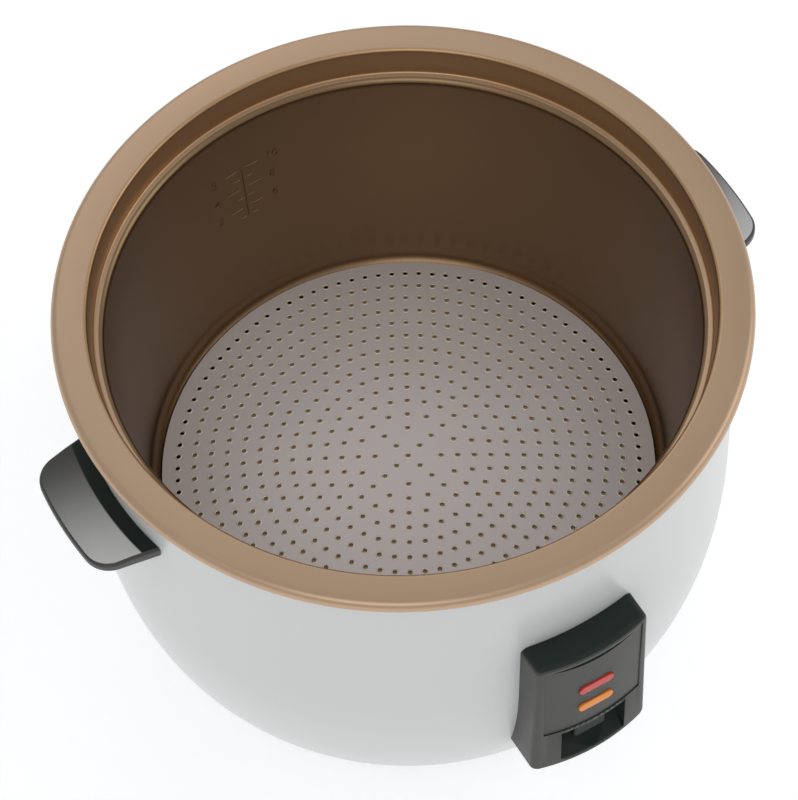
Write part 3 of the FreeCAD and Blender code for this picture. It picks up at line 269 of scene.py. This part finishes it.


# %% [markdown]
# ## Finishes of the outside
# The pot is one anodised metal, but its rim, throat, wall and floor show four tones, because each sees other
# surroundings. That could be left to the light alone; here a finish for each paints it, which is easier to tune: a
# painted reflection on the throat, painted shade on the wall and painted light on the floor under the plate. The grips
# are polished; their colour runs from pale to black along their length as a painted reflection, with painted shade, a
# deeper black, on the shelf inside the crease.

# %% Metal and enamel
BROWN_ANODISED = finish("brown_anodised_aluminium", (0.48, 0.335, 0.225), (0.54, 0.38, 0.26), (0.36, 0.44),
                        metal=1.0, drift=9.0, grain=700.0, relief=0.05)
# Painted shade: a darker copy of the pot's anodising for the wall below the ledge and the water scale on it.
BROWN_WALL_PAINTED_SHADE = finish("brown_anodised_wall_painted_shade", (0.215, 0.138, 0.076), (0.255, 0.164, 0.092), (0.29, 0.32),
                      metal=1.0, drift=7.0, grain=900.0, relief=0.03)
# Painted reflection: a darker, more orange copy of the anodising for the throat.
BROWN_THROAT_PAINTED_REFLECTION = finish("brown_anodised_throat_painted_reflection", (0.44, 0.275, 0.145), (0.50, 0.315, 0.17), (0.34, 0.40),
                      metal=1.0, drift=9.0, grain=700.0, relief=0.04)
# Painted light: a lighter, less metallic copy for the floor under the plate, so the plate's holes show it lit.
BROWN_FLOOR_PAINTED_LIGHT = finish("brown_anodised_floor_painted_light", (0.38, 0.26, 0.165), (0.46, 0.32, 0.21), (0.45, 0.55),
                     metal=0.2, drift=60.0)
MATT_ALUMINIUM = finish("matt_aluminium", (0.70, 0.645, 0.635), (0.76, 0.705, 0.695), (0.42, 0.50),
                        metal=0.2, drift=14.0, grain=600.0, relief=0.05)
WHITE_ENAMEL = finish("white_enamel", (0.58, 0.59, 0.59), (0.62, 0.63, 0.63), (0.30, 0.36),
                      drift=6.0, grain=260.0, relief=0.04, Coat_Weight=0.25, Coat_Roughness=0.2)
print("metal and enamel:", len(bpy.data.materials), "materials so far")

# %% Plastic and lamps
# Painted shade: the shelf nearer the axis than the crease gets a deeper black.
CREASE_SHADE_RADIUS = 180.0 * MM
# Painted reflection: the grip's colour runs from pale to black along Y between these two places.
GRIP_REFLECTION_RUN = ("Y", -0.046, 0.040)
SHELF_PAINTED_SHADE = (0.005, 0.012, 0.010)
BLACK_PLASTIC = finish("black_moulded_plastic", (0.034, 0.035, 0.031), (0.044, 0.045, 0.041), (0.36, 0.44),
                       grain=1500.0, relief=0.06)
# Painted shade: a darker copy of the panel plastic for its upward faces and switch recess; on the switch key in the
# recess it is the key's own black, darkened as painted shade.
DEEP_BLACK_PAINTED_SHADE = finish("deep_black_plastic_painted_shade", (0.009, 0.018, 0.015), (0.013, 0.023, 0.020), (0.46, 0.54),
                    grain=1500.0, relief=0.05, Specular_IOR_Level=0.25)
# Painted reflection along the grip, and painted shade as a deeper black on the shelf inside the crease.
GRIP_PAINTED_REFLECTION_AND_SHADE = finish("grip_plastic_painted_reflection_and_shade", (0.60, 0.605, 0.60), (0.055, 0.054, 0.050), (0.34, 0.40),
                      grain=1500.0, relief=0.01, run=GRIP_REFLECTION_RUN, ring=(CREASE_SHADE_RADIUS, SHELF_PAINTED_SHADE), Specular_IOR_Level=0.3)
FACIA_PLASTIC = finish("dark_facia_plastic", (0.042, 0.042, 0.038), (0.050, 0.050, 0.045), (0.40, 0.46),
                       grain=1300.0, relief=0.02, Specular_IOR_Level=0.28)
RED_LENS = finish("red_lamp_lens", (0.50, 0.030, 0.026), (0.60, 0.045, 0.036), (0.20, 0.28),
                  relief=0.0, Specular_IOR_Level=0.3)
AMBER_LENS = finish("amber_lamp_lens", (0.74, 0.20, 0.012), (0.82, 0.25, 0.018), (0.20, 0.28),
                    relief=0.0, Specular_IOR_Level=0.3)
print("plastic and lamps:", len(bpy.data.materials), "materials so far")

# %% [markdown]
# ## Finishes of the works and the floor
# The pieces inside the casing are plain stock: bare and zinc plated steel, cast aluminium, ferrite, rubber, brass.
# They could share one grey, but a pose or a cut shows them, so each has its own. The studio floor glows a little, as a
# lit white ground does in a photo studio.

# %% Works and floor
BARE_SHEET = finish("bare_sheet_steel", (0.46, 0.46, 0.47), (0.56, 0.56, 0.57), (0.34, 0.46),
                    metal=1.0, drift=30.0)
ZINC_STEEL = finish("zinc_plated_steel", (0.50, 0.50, 0.47), (0.60, 0.60, 0.57), (0.30, 0.42),
                    metal=1.0, drift=60.0)
CAST_ALUMINIUM = finish("cast_aluminium", (0.48, 0.48, 0.48), (0.58, 0.58, 0.58), (0.46, 0.58),
                        metal=1.0, grain=380.0, relief=0.15)
TINTED_STEEL = finish("heat_tinted_steel", (0.20, 0.16, 0.14), (0.30, 0.25, 0.22), (0.40, 0.50), metal=1.0)
FERRITE = finish("ferrite", (0.030, 0.030, 0.032), (0.045, 0.045, 0.048), (0.55, 0.65), metal=0.3)
FOOT_RUBBER = finish("foot_rubber", (0.018, 0.018, 0.018), (0.026, 0.026, 0.026), (0.70, 0.80), relief=0.1)
SWITCH_PLASTIC = finish("switch_plastic", (0.040, 0.040, 0.042), (0.052, 0.052, 0.055), (0.45, 0.55))
RED_PLASTIC = finish("plunger_plastic", (0.40, 0.04, 0.03), (0.48, 0.06, 0.04), (0.40, 0.50))
BRASS = finish("contact_brass", (0.56, 0.40, 0.15), (0.66, 0.48, 0.20), (0.26, 0.36), metal=1.0)
LAMP_GLASS = finish("neon_lamp_glass", (0.80, 0.70, 0.60), (0.86, 0.78, 0.70), (0.08, 0.12),
                    relief=0.0, Transmission_Weight=0.6)
FLOOR_WHITE = finish("studio_floor", (0.90, 0.91, 0.92), (0.92, 0.93, 0.94), (0.85, 0.95),
                     relief=0.0, Emission_Color=(1.0, 1.0, 1.0, 1.0), Emission_Strength=0.36)
dress(floor, FLOOR_WHITE)
print("works and floor:", len(bpy.data.materials), "materials so far")

# %% Finish of every node
NODE_FINISH = {
    BARE_SHEET: ["inner_liner", "base_plate", "thermostat_bridge", "thermostat_sleeve", "switch_lever",
                 "lever_bracket", "sensor_spring", "rod_spring"],
    ZINC_STEEL: ["base_screws", "handle_screws", "panel_screws", "inlet_screws", "lever_pivot_pin", "pull_rod",
                 "heater_posts", "earth_screw"],
    CAST_ALUMINIUM: ["heater_plate", "sensor_cap", "warm_thermostat", "thermal_fuse"],
    TINTED_STEEL: ["heating_element"],
    FERRITE: ["soft_ferrite", "pull_magnet"],
    FOOT_RUBBER: ["rubber_feet"],
    SWITCH_PLASTIC: ["micro_switch", "terminal_block"],
    RED_PLASTIC: ["switch_plunger"],
    BRASS: ["inlet_pins"],
    LAMP_GLASS: ["neon_lamps"],
    BROWN_ANODISED: ["inner_pot"],
    MATT_ALUMINIUM: ["perforated_plate"],
    WHITE_ENAMEL: ["outer_casing"],
    BLACK_PLASTIC: ["handle_left", "handle_right", "panel_housing", "inlet_housing"],
    FACIA_PLASTIC: ["panel_facia", "switch_key"],
    RED_LENS: ["cook_lamp_lens"],
    AMBER_LENS: ["warm_lamp_lens"],
}
for material, names in NODE_FINISH.items():
    for name in names:
        dress(nodes[name], material)
print("finishes:", len(NODE_FINISH), "nodes dressed:", sum(map(len, NODE_FINISH.values())))

# %% [markdown]
# ## Surfaces as grids
# A turned piece can be spun with a modifier, but a grid worked out with numpy gives full control: rows follow the
# half section, columns go round the axis. The half section is a line with rounded corners, so a helper turns corners
# and radii into points. Others make the grid's faces and put points and faces into a mesh.

# %% Lines of a section
STRAIGHT = 1e-6


def rounded_line(corners, steps=10):
    """An open line through corners (across, up, radius), where each corner is an arc that touches both its sides.

    The arc starts radius * tan(turn / 2) before the corner, and its points sweep the turn about the arc's centre.
    """
    corners = np.array(corners, float)
    xy, radii = corners[:, :2], corners[:, 2]
    line = [xy[:1]]
    for before, corner, after, radius in zip(xy[:-2], xy[1:-1], xy[2:], radii[1:-1]):
        into = (corner - before) / np.linalg.norm(corner - before)
        out = (after - corner) / np.linalg.norm(after - corner)
        swing = np.arctan2(into[0] * out[1] - into[1] * out[0], into @ out)
        if radius == 0.0 or abs(swing) < STRAIGHT:
            line.append(corner[None])
            continue
        start = corner - into * radius * np.tan(abs(swing) / 2)
        left = np.array([-into[1], into[0]]) * np.sign(swing)
        angle = np.linspace(0.0, abs(swing), steps)[:, None]
        line.append(start + left * radius * (1 - np.cos(angle)) + into * radius * np.sin(angle))
    line.append(xy[-1:])
    return np.vstack(line)


def densify(line, step):
    """The same line with points no further apart than a step along it."""
    length = np.concatenate([[0.0], np.cumsum(np.linalg.norm(np.diff(line, axis=0), axis=1))])
    extra = np.arange(0.0, length[-1], step)
    places = np.unique(np.concatenate([length, extra]))
    return np.column_stack([np.interp(places, length, line[:, axis]) for axis in (0, 1)])


# %% Grids
def turned(line, columns):
    """Points of a half section (radius, height) carried round the Z axis: x = r cos a, y = r sin a."""
    angle = np.linspace(0.0, 2 * np.pi, columns, endpoint=False)
    radius, height = line[:, :1], line[:, 1:]
    level = np.broadcast_to(height, (len(line), columns))
    return np.stack([radius * np.cos(angle), radius * np.sin(angle), level], -1)


def grid_faces(rows, columns, wrap_rows=False, wrap_columns=False):
    """Quads of a grid as index rows, closed on itself along the ways that wrap."""
    i = np.arange(rows if wrap_rows else rows - 1)[:, None]
    j = np.arange(columns if wrap_columns else columns - 1)[None, :]
    i, j = np.broadcast_arrays(i, j)
    below, beside = (i + 1) % rows, (j + 1) % columns
    quads = [i * columns + j, i * columns + beside, below * columns + beside, below * columns + j]
    return np.stack(quads, axis=-1).reshape(-1, 4)


def repeated(faces, copies, points_each):
    """Faces of many like grids: the point numbers of copy k are raised by k times the points of one."""
    return (faces[None] + (np.arange(copies) * points_each)[:, None, None]).reshape(-1, 4)


# %% Meshes
MERGE_DISTANCE = 1e-6
LEAST_EDGE = 1e-7


def join_faces(mesh, sharp, new=False):
    """Merges points at one place and smooths all but sharp edges.

    A new surface also loses its empty faces, and the rest are turned outwards.
    """
    joined = bmesh.new()
    joined.from_mesh(mesh)
    bmesh.ops.remove_doubles(joined, verts=joined.verts, dist=MERGE_DISTANCE)
    if new:
        bmesh.ops.dissolve_degenerate(joined, edges=joined.edges, dist=LEAST_EDGE)
        bmesh.ops.recalc_face_normals(joined, faces=joined.faces)
    joined.to_mesh(mesh)
    joined.free()
    mesh.shade_smooth()
    mesh.set_sharp_from_angle(angle=np.radians(sharp))


def move_points(mesh, move):
    """Carries every point of a mesh to where a function of all points puts it."""
    points = np.empty(len(mesh.vertices) * 3)
    mesh.vertices.foreach_get("co", points)
    mesh.vertices.foreach_set("co", move(points.reshape(-1, 3)).ravel())
    mesh.update()


def surface(name, points, faces, body, material, sharp=40.0):
    """A mesh piece from points and faces, on a body and in a material slot."""
    mesh = bpy.data.meshes.new(name)
    mesh.from_pydata(points.reshape(-1, 3).tolist(), [], faces.tolist())
    join_faces(mesh, sharp, new=True)
    piece = dress(add_object(name, mesh), material)
    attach(piece, body)
    return piece


# %% [markdown]
# ## Pot
# The pot is spun from sheet: a flat rim with a rounded edge, a short throat, a ledge where the lid sits, and a wall
# that leans in to a rounded floor. The half section repeats the solid's sizes with finer roundings. Only the floor
# differs: the solid's is flat, and this one rises close under the domed plate, so that the plate's holes show it.

# %% Pot
# Millimetres from the axis, and down from the rim.
DOME_FOOT = 160.9
DOME_RISE = 9.46
DOME_EDGE = 134.5
FLOOR_END = 119.0
FLOOR_ROWS = 24
POT_STEP = 12.0
POT_COLUMNS = 240
POT_SECTION = [
    (FLOOR_END, 158.85, 0.0), (128.0, 163.0, 0.5), (139.2, 163.0, 11.5), (153.5, 21.5, 12.0), (154.2, 17.2, 4.0),
    (159.2, 16.6, 1.3), (161.5, 0.0, 2.2), (180.0, 0.0, 4.0), (180.0, 5.5, 0.6), (177.5, 5.5, 0.6),
    (177.5, 2.5, 1.5), (164.0, 2.5, 1.0), (162.4, 16.2, 3.0), (156.6, 19.6, 2.0), (156.0, 22.0, 8.0),
    (141.7, 165.5, 12.5), (0.0, 165.5, 0.0)]

floor_radius = np.linspace(0.0, FLOOR_END, FLOOR_ROWS)
pot_floor = np.column_stack([floor_radius, DOME_FOOT - DOME_RISE * (1.0 - (floor_radius / DOME_EDGE) ** 2)])
pot_line = densify(np.vstack([pot_floor[:-1], rounded_line(POT_SECTION)]), POT_STEP) * MM
pot_line[:, 1] = rim_top - pot_line[:, 1]
pot_faces = grid_faces(len(pot_line), POT_COLUMNS, wrap_columns=True)
pot = surface("pot", turned(pot_line, POT_COLUMNS), pot_faces, "pot", BROWN_ANODISED)
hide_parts("inner_pot")
print("pot faces:", len(pot.data.polygons))

# %% [markdown]
# ## Several finishes on one piece
# The wall, the throat and the floor of the pot differ from its rim by painted shade, reflection and light, and some
# faces of the black mouldings differ from their sides by painted reflection and shade. A further finish can be a
# further object, but a face can also carry its own material number. The helper reads every face's middle and normal as
# arrays, and a rule gives each face its number.

# %% Finish by face
LEDGE_LEVEL = rim_top - 17.0 * MM
FACES_UP = 0.5
# Metres from the axis times the share of the normal that points to it.
FACES_AXIS = 0.05


def dress_faces(piece, finishes, rule):
    """Several finishes on one piece: the rule takes face middles and normals and returns a number per face."""
    mesh = piece.data
    middles, normals = (np.empty(len(mesh.polygons) * 3) for _ in range(2))
    mesh.polygons.foreach_get("center", middles)
    mesh.polygons.foreach_get("normal", normals)
    mesh.materials.clear()
    for material in finishes:
        mesh.materials.append(material)
    numbers = rule(middles.reshape(-1, 3), normals.reshape(-1, 3)).astype(np.int32)
    mesh.polygons.foreach_set("material_index", numbers)
    mesh.update()
    return np.bincount(numbers).tolist()


def pot_rule(middles, normals):
    """Number 3 on the throat (painted reflection), 2 on the domed floor (painted light), 1 elsewhere below the ledge
    if facing the axis or up (painted shade), else 0.
    """
    inward = -(middles[:, 0] * normals[:, 0] + middles[:, 1] * normals[:, 1])
    to_axis, upward = inward > FACES_AXIS, normals[:, 2] > FACES_UP
    inside = (middles[:, 2] < LEDGE_LEVEL) & (to_axis | upward)
    under_plate = (np.hypot(middles[:, 0], middles[:, 1]) < FLOOR_END * MM) & upward
    throat = (middles[:, 2] > LEDGE_LEVEL) & to_axis
    return np.where(throat, 3, np.where(under_plate, 2, inside))


pot_finishes = [BROWN_ANODISED, BROWN_WALL_PAINTED_SHADE, BROWN_FLOOR_PAINTED_LIGHT, BROWN_THROAT_PAINTED_REFLECTION]
print("pot faces by finish:", dress_faces(pot, pot_finishes, pot_rule))

# %% [markdown]
# ## Water scale
# The wall carries a raised water scale: an upright line with long and short ticks to both sides, and numbers beside
# the long ticks. Each bar is a low ridge carried along a straight line, first laid out flat (along the wall, down the
# wall), then wrapped: the way along becomes an angle, the way down follows the leaning wall, and the height goes
# towards the axis. The numbers are text made into a mesh, wrapped the same way.

# %% Water scale bars
SCALE_ANGLE = np.radians(95.0)
WALL_TOP, WALL_LOW = (153.3 * MM, 24.0 * MM), (140.5 * MM, 150.0 * MM)
SCALE_RADIUS = 149.0 * MM
PROUD = 0.45 * MM
RIDGE_HALF = 0.45 * MM
RIDGE_ROWS = 6
RIDGE_SIDE = np.array([-1.0, -0.5, 0.5, 1.0])
RIDGE_RISE = np.array([-0.4, 1.0, 1.0, -0.4])
LINE_TOP, LINE_LOW = 48.0, 93.0
TICK_START = 1.5
TICKS = ((12.0, (52.0, 67.0, 82.0)), (6.0, (59.5, 74.5, 89.5)))


def wrap_on_wall(flat):
    """Flat points (along, down, proud) on the wall: angle = start - along / radius, r falls evenly with depth."""
    lean = (WALL_LOW[0] - WALL_TOP[0]) / (WALL_LOW[1] - WALL_TOP[1])
    radius = WALL_TOP[0] + lean * (flat[:, 1] - WALL_TOP[1]) - flat[:, 2]
    angle = SCALE_ANGLE - flat[:, 0] / SCALE_RADIUS
    return np.column_stack([radius * np.cos(angle), radius * np.sin(angle), rim_top - flat[:, 1]])


def ridge(start, end):
    """Flat points of a low ridge from start to end: a four-point section carried along, let down at both ends."""
    start, end = np.array(start) * MM, np.array(end) * MM
    way = (end - start) / np.linalg.norm(end - start)
    across = np.array([-way[1], way[0]])
    share = np.linspace(0.0, 1.0, RIDGE_ROWS)
    spine = start + (end - start) * share[:, None]
    height = PROUD * np.where((share == 0.0) | (share == 1.0), 0.0, 1.0)
    plane = spine[:, None, :] + across * (RIDGE_SIDE * RIDGE_HALF)[:, None]
    lift = np.where(RIDGE_RISE > 0, height[:, None] * RIDGE_RISE, RIDGE_RISE * PROUD)
    return np.concatenate([plane, lift[..., None]], axis=-1).reshape(-1, 3)


bars = [((0.0, LINE_TOP), (0.0, LINE_LOW))]
for reach, levels in TICKS:
    bars += [((side * TICK_START, down), (side * reach, down)) for down in levels for side in (-1, 1)]
ridges = np.stack([ridge(*bar) for bar in bars])
scale_faces = repeated(grid_faces(RIDGE_ROWS, len(RIDGE_SIDE)), len(bars), ridges.shape[1])
surface("water_scale", wrap_on_wall(ridges.reshape(-1, 3)), scale_faces, "pot", BROWN_WALL_PAINTED_SHADE,
        sharp=60.0)
print("scale bars:", len(bars))

# %% Water scale numbers
DIGIT_HEIGHT = 5.5 * MM
FONT_OVER_DIGIT = 1.4
FONT_STEPS = 3
NUMBER_LIFT = 0.3 * PROUD
SCALE_NUMBERS = (("10", 15.0, 54.5), ("8", 16.0, 69.5), ("6", 16.0, 84.5),
                 ("5", -20.0, 54.5), ("4", -20.0, 69.5), ("3", -20.0, 84.5))


def scale_number(words, along, down):
    """A number as a raised mesh on the wall, with its lower left corner at a flat place."""
    curve = bpy.data.curves.new(f"number_{words}", "FONT")
    curve.body = words
    curve.size = DIGIT_HEIGHT * FONT_OVER_DIGIT
    curve.extrude = PROUD / 2
    curve.resolution_u = FONT_STEPS
    source = add_object(curve.name, curve)
    mesh = bpy.data.meshes.new_from_object(source.evaluated_get(bpy.context.evaluated_depsgraph_get()))
    bpy.data.objects.remove(source)
    move_points(mesh, lambda points: wrap_on_wall(np.column_stack(
        [along * MM + points[:, 0], down * MM - points[:, 1], points[:, 2] + NUMBER_LIFT])))
    piece = dress(add_object(f"scale_number_{words}", mesh), BROWN_WALL_PAINTED_SHADE)
    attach(piece, "pot")
    return piece


for words, along, down in SCALE_NUMBERS:
    print(scale_number(words, along, down).name)

# %% [markdown]
# ## Perforated plate
# The plate is a punched disc that is domed a little, so water runs off it. The solid is a flat sheet with every hole.
# A domed sheet could be punched anew; a merged copy of the flat one, lifted by a parabola, keeps every hole in place:
# the rise falls with the square of the distance from the axis.

# %% Plate
PLATE_RISE = DOME_RISE * MM
PLATE_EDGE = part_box("perforated_plate")[1].x


def dome(points):
    """Points lifted by rise * (1 - (r / edge) squared)."""
    spread = (points[:, 0] ** 2 + points[:, 1] ** 2) / PLATE_EDGE ** 2
    lifted = points.copy()
    lifted[:, 2] += PLATE_RISE * (1.0 - spread)
    return lifted


def merged_copy(node, name, sharp=35.0):
    """A copy of a solid's mesh with its triangles joined and its soft edges smooth; it takes the node's place."""
    source = nodes[node]
    piece = add_object(name, source.data.copy())
    join_faces(piece.data, sharp)
    piece.modifiers.new("even_normals", "WEIGHTED_NORMAL").keep_sharp = True
    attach(piece, source["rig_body"])
    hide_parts(node)
    return piece


plate = dress(merged_copy("perforated_plate", "domed_plate"), MATT_ALUMINIUM)
move_points(plate.data, dome)
print("plate faces:", len(plate.data.polygons))

# %% [markdown]
# ## Edges of the plate's holes
# A punch leaves a rounded edge round each hole; its lighter colour here is a painted highlight. It could be a bevel
# on the plate, but that would round the plate's own edge too. Here one small turned ring is repeated at every hole:
# one in the middle, 4 in the first circle, 8 in the second, then 8 more in each circle than in the last. All are
# lifted by the same parabola as the plate.

# %% Plate's hole edges
RING_PITCH = 9.0 * MM
RINGS = 14
FIRST_RING, RING_GROWTH = 4, 8
PLATE_PHASE = np.radians(15.0)
EDGE_RADIUS = np.array([1.22, 1.30, 1.60, 1.95, 2.10]) * MM
EDGE_HEIGHT = np.array([-0.70, 0.02, 0.20, 0.10, -0.05]) * MM
EDGE_COLUMNS = 14

ring_sizes = [1, FIRST_RING] + [RING_GROWTH * (k - 1) for k in range(2, RINGS + 1)]
ring_index = np.repeat(np.arange(RINGS + 1), ring_sizes)
ring_count = np.repeat(ring_sizes, ring_sizes)
step_index = np.concatenate([np.arange(size) for size in ring_sizes])
hole_angle = PLATE_PHASE + 2 * np.pi * step_index / ring_count
hole_centre = np.column_stack([np.cos(hole_angle), np.sin(hole_angle)]) * (ring_index * RING_PITCH)[:, None]
plate_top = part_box("perforated_plate")[1].z
edge = turned(np.column_stack([EDGE_RADIUS, EDGE_HEIGHT]), EDGE_COLUMNS)
edges = edge[None] + np.column_stack([hole_centre, np.full(len(hole_centre), plate_top)])[:, None, None, :]
one_ring = grid_faces(len(EDGE_RADIUS), EDGE_COLUMNS, wrap_columns=True)
edge_faces = repeated(one_ring, len(hole_centre), edge[..., 0].size)
# Painted highlight: the hole edges are lighter than the plate.
EDGE_PAINTED_HIGHLIGHT = finish("punched_edge_painted_highlight", (0.80, 0.72, 0.63), (0.88, 0.80, 0.71), (0.26, 0.34),
                     metal=0.3, relief=0.0)
hole_edges = surface("plate_hole_edges", dome(edges.reshape(-1, 3)), edge_faces, "plate", EDGE_PAINTED_HIGHLIGHT)
print("holes:", len(hole_centre), "edge faces:", len(hole_edges.data.polygons))

# %% [markdown]
# ## Casing
# The casing is pressed sheet with a satin white coat: nearly upright at the top, then an elliptic bowl. Its half
# section is followed out and back, so the sheet has two sides, and the faces inside the lever's and the inlet's
# windows are left out.

# %% Casing
CASING_TOP, CASING_KNEE, CASING_FOOT = rim_top - 5.0 * MM, rim_top - 124.0 * MM, rim_top - 245.0 * MM
TOP_RADIUS, KNEE_RADIUS, FOOT_RADIUS, HEM_RADIUS = 171.2 * MM, 172.3 * MM, 123.0 * MM, 105.0 * MM
FLANGE_RADIUS = 166.5 * MM
FLANGE_BEND = 2.5 * MM
SHEET = 1.0 * MM
BOWL_ROWS = 40
CASING_STEP = 6.0 * MM
CASING_COLUMNS = 288
# Side of the axis along Y, half width, level and half height of the lever's and the inlet's windows.
FRONT, REAR = -1, 1
WINDOWS = ((FRONT, 0.010, 0.0902, 0.011), (REAR, 0.012, 0.070, 0.010))
quarter = np.linspace(0.0, np.pi / 2, BOWL_ROWS)[:, None]


def casing_side(inset):
    """One side of the sheet: flange, bend, wall and bowl.

    The bowl is r = foot radius + (knee radius - foot radius) cos q, z = knee - (knee - foot) sin q.
    """
    upper = rounded_line([(FLANGE_RADIUS, CASING_TOP - inset, 0),
                          (TOP_RADIUS - inset, CASING_TOP - inset, FLANGE_BEND - inset),
                          (KNEE_RADIUS - inset, CASING_KNEE, 0)])
    bowl = np.column_stack([FOOT_RADIUS + (KNEE_RADIUS - inset - FOOT_RADIUS) * np.cos(quarter),
                            CASING_KNEE - (CASING_KNEE - CASING_FOOT - inset) * np.sin(quarter)])
    return np.vstack([densify(upper, CASING_STEP), bowl[1:], [(HEM_RADIUS, CASING_FOOT + inset)]])


casing_line = np.vstack([casing_side(0.0), casing_side(SHEET)[::-1]])
casing_points = turned(casing_line, CASING_COLUMNS)
casing_faces = grid_faces(len(casing_line), CASING_COLUMNS, wrap_rows=True, wrap_columns=True)
across, out, level = casing_points.reshape(-1, 3)[casing_faces].mean(axis=1).T
in_window = np.zeros(len(casing_faces), bool)
for side, half_width, middle, half_height in WINDOWS:
    in_window |= (abs(across) < half_width) & (out * side > 0) & (abs(level - middle) < half_height)
casing = surface("casing", casing_points, casing_faces[~in_window], "base", WHITE_ENAMEL)
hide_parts("outer_casing")
print("casing faces:", len(casing.data.polygons))

# %% [markdown]
# ## Moulded pieces
# The handles, the panel, its lamps and the inlet have their final shape in the solids, edges included. They could be
# modelled again, but merged copies are enough: joined triangles shade smoothly round the moulded edges. The grips then
# get a painted reflection and painted shade by face, and the panel's upward faces and recess get painted shade.

# %% Moulded pieces
MOULDED_FINISH = {
    "handle_left": BLACK_PLASTIC,
    "handle_right": BLACK_PLASTIC,
    "panel_housing": FACIA_PLASTIC,
    "panel_facia": FACIA_PLASTIC,
    "switch_key": DEEP_BLACK_PAINTED_SHADE,
    "cook_lamp_lens": RED_LENS,
    "warm_lamp_lens": AMBER_LENS,
    "inlet_housing": BLACK_PLASTIC,
}
moulded = {}
for node, material in MOULDED_FINISH.items():
    moulded[node] = dress(merged_copy(node, f"{node}_moulded"), material)
    print(moulded[node].name, len(moulded[node].data.polygons))

# %% Grips and panel
NEARLY_LEVEL = 0.95
FACES_FRONT = -0.9
RECESS_HALF = 19.6 * MM
RECESS_LEVELS = (rim_top - 177.1 * MM, rim_top - 148.9 * MM)
RECESS_FRONT = -0.180


def handle_rule(middles, normals):
    """Number 1 on the shelf and the sloped grip, which carry a painted reflection and painted shade, else 0."""
    return normals[:, 2] > NEARLY_LEVEL


def panel_rule(middles, normals):
    """Number 1, painted shade, on the upward faces and inside the switch recess, else 0."""
    low, high = RECESS_LEVELS
    in_recess = (abs(middles[:, 0]) < RECESS_HALF) & (middles[:, 2] > low) & (middles[:, 2] < high)
    behind_front = (normals[:, 1] > FACES_FRONT) | (middles[:, 1] > RECESS_FRONT)
    return (normals[:, 2] > FACES_UP) | (in_recess & behind_front)


for node in ("handle_left", "handle_right"):
    print(node, dress_faces(moulded[node], [BLACK_PLASTIC, GRIP_PAINTED_REFLECTION_AND_SHADE], handle_rule))
print("panel", dress_faces(moulded["panel_housing"], [FACIA_PLASTIC, DEEP_BLACK_PAINTED_SHADE], panel_rule))

# %% [markdown]
# ## Springs
# Two coils work inside the cooker, each only pressed along its axis: the rod's coil sits on the rising collar, the
# sensor's coil hangs under the sinking cap. Each is a merged copy of its solid with a mesh of its own.

# %% Springs
LOW_END, HIGH_END = 0, 1
COILS = (("rod_spring", "magnet_slide", 5.9 * MM, LOW_END),
         ("sensor_spring", "sensor_slide", 1.0 * MM, HIGH_END))
for node, joint, travel, carried in COILS:
    coil = dress(merged_copy(node, f"{node}_coil"), BARE_SHEET)
    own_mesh(coil)
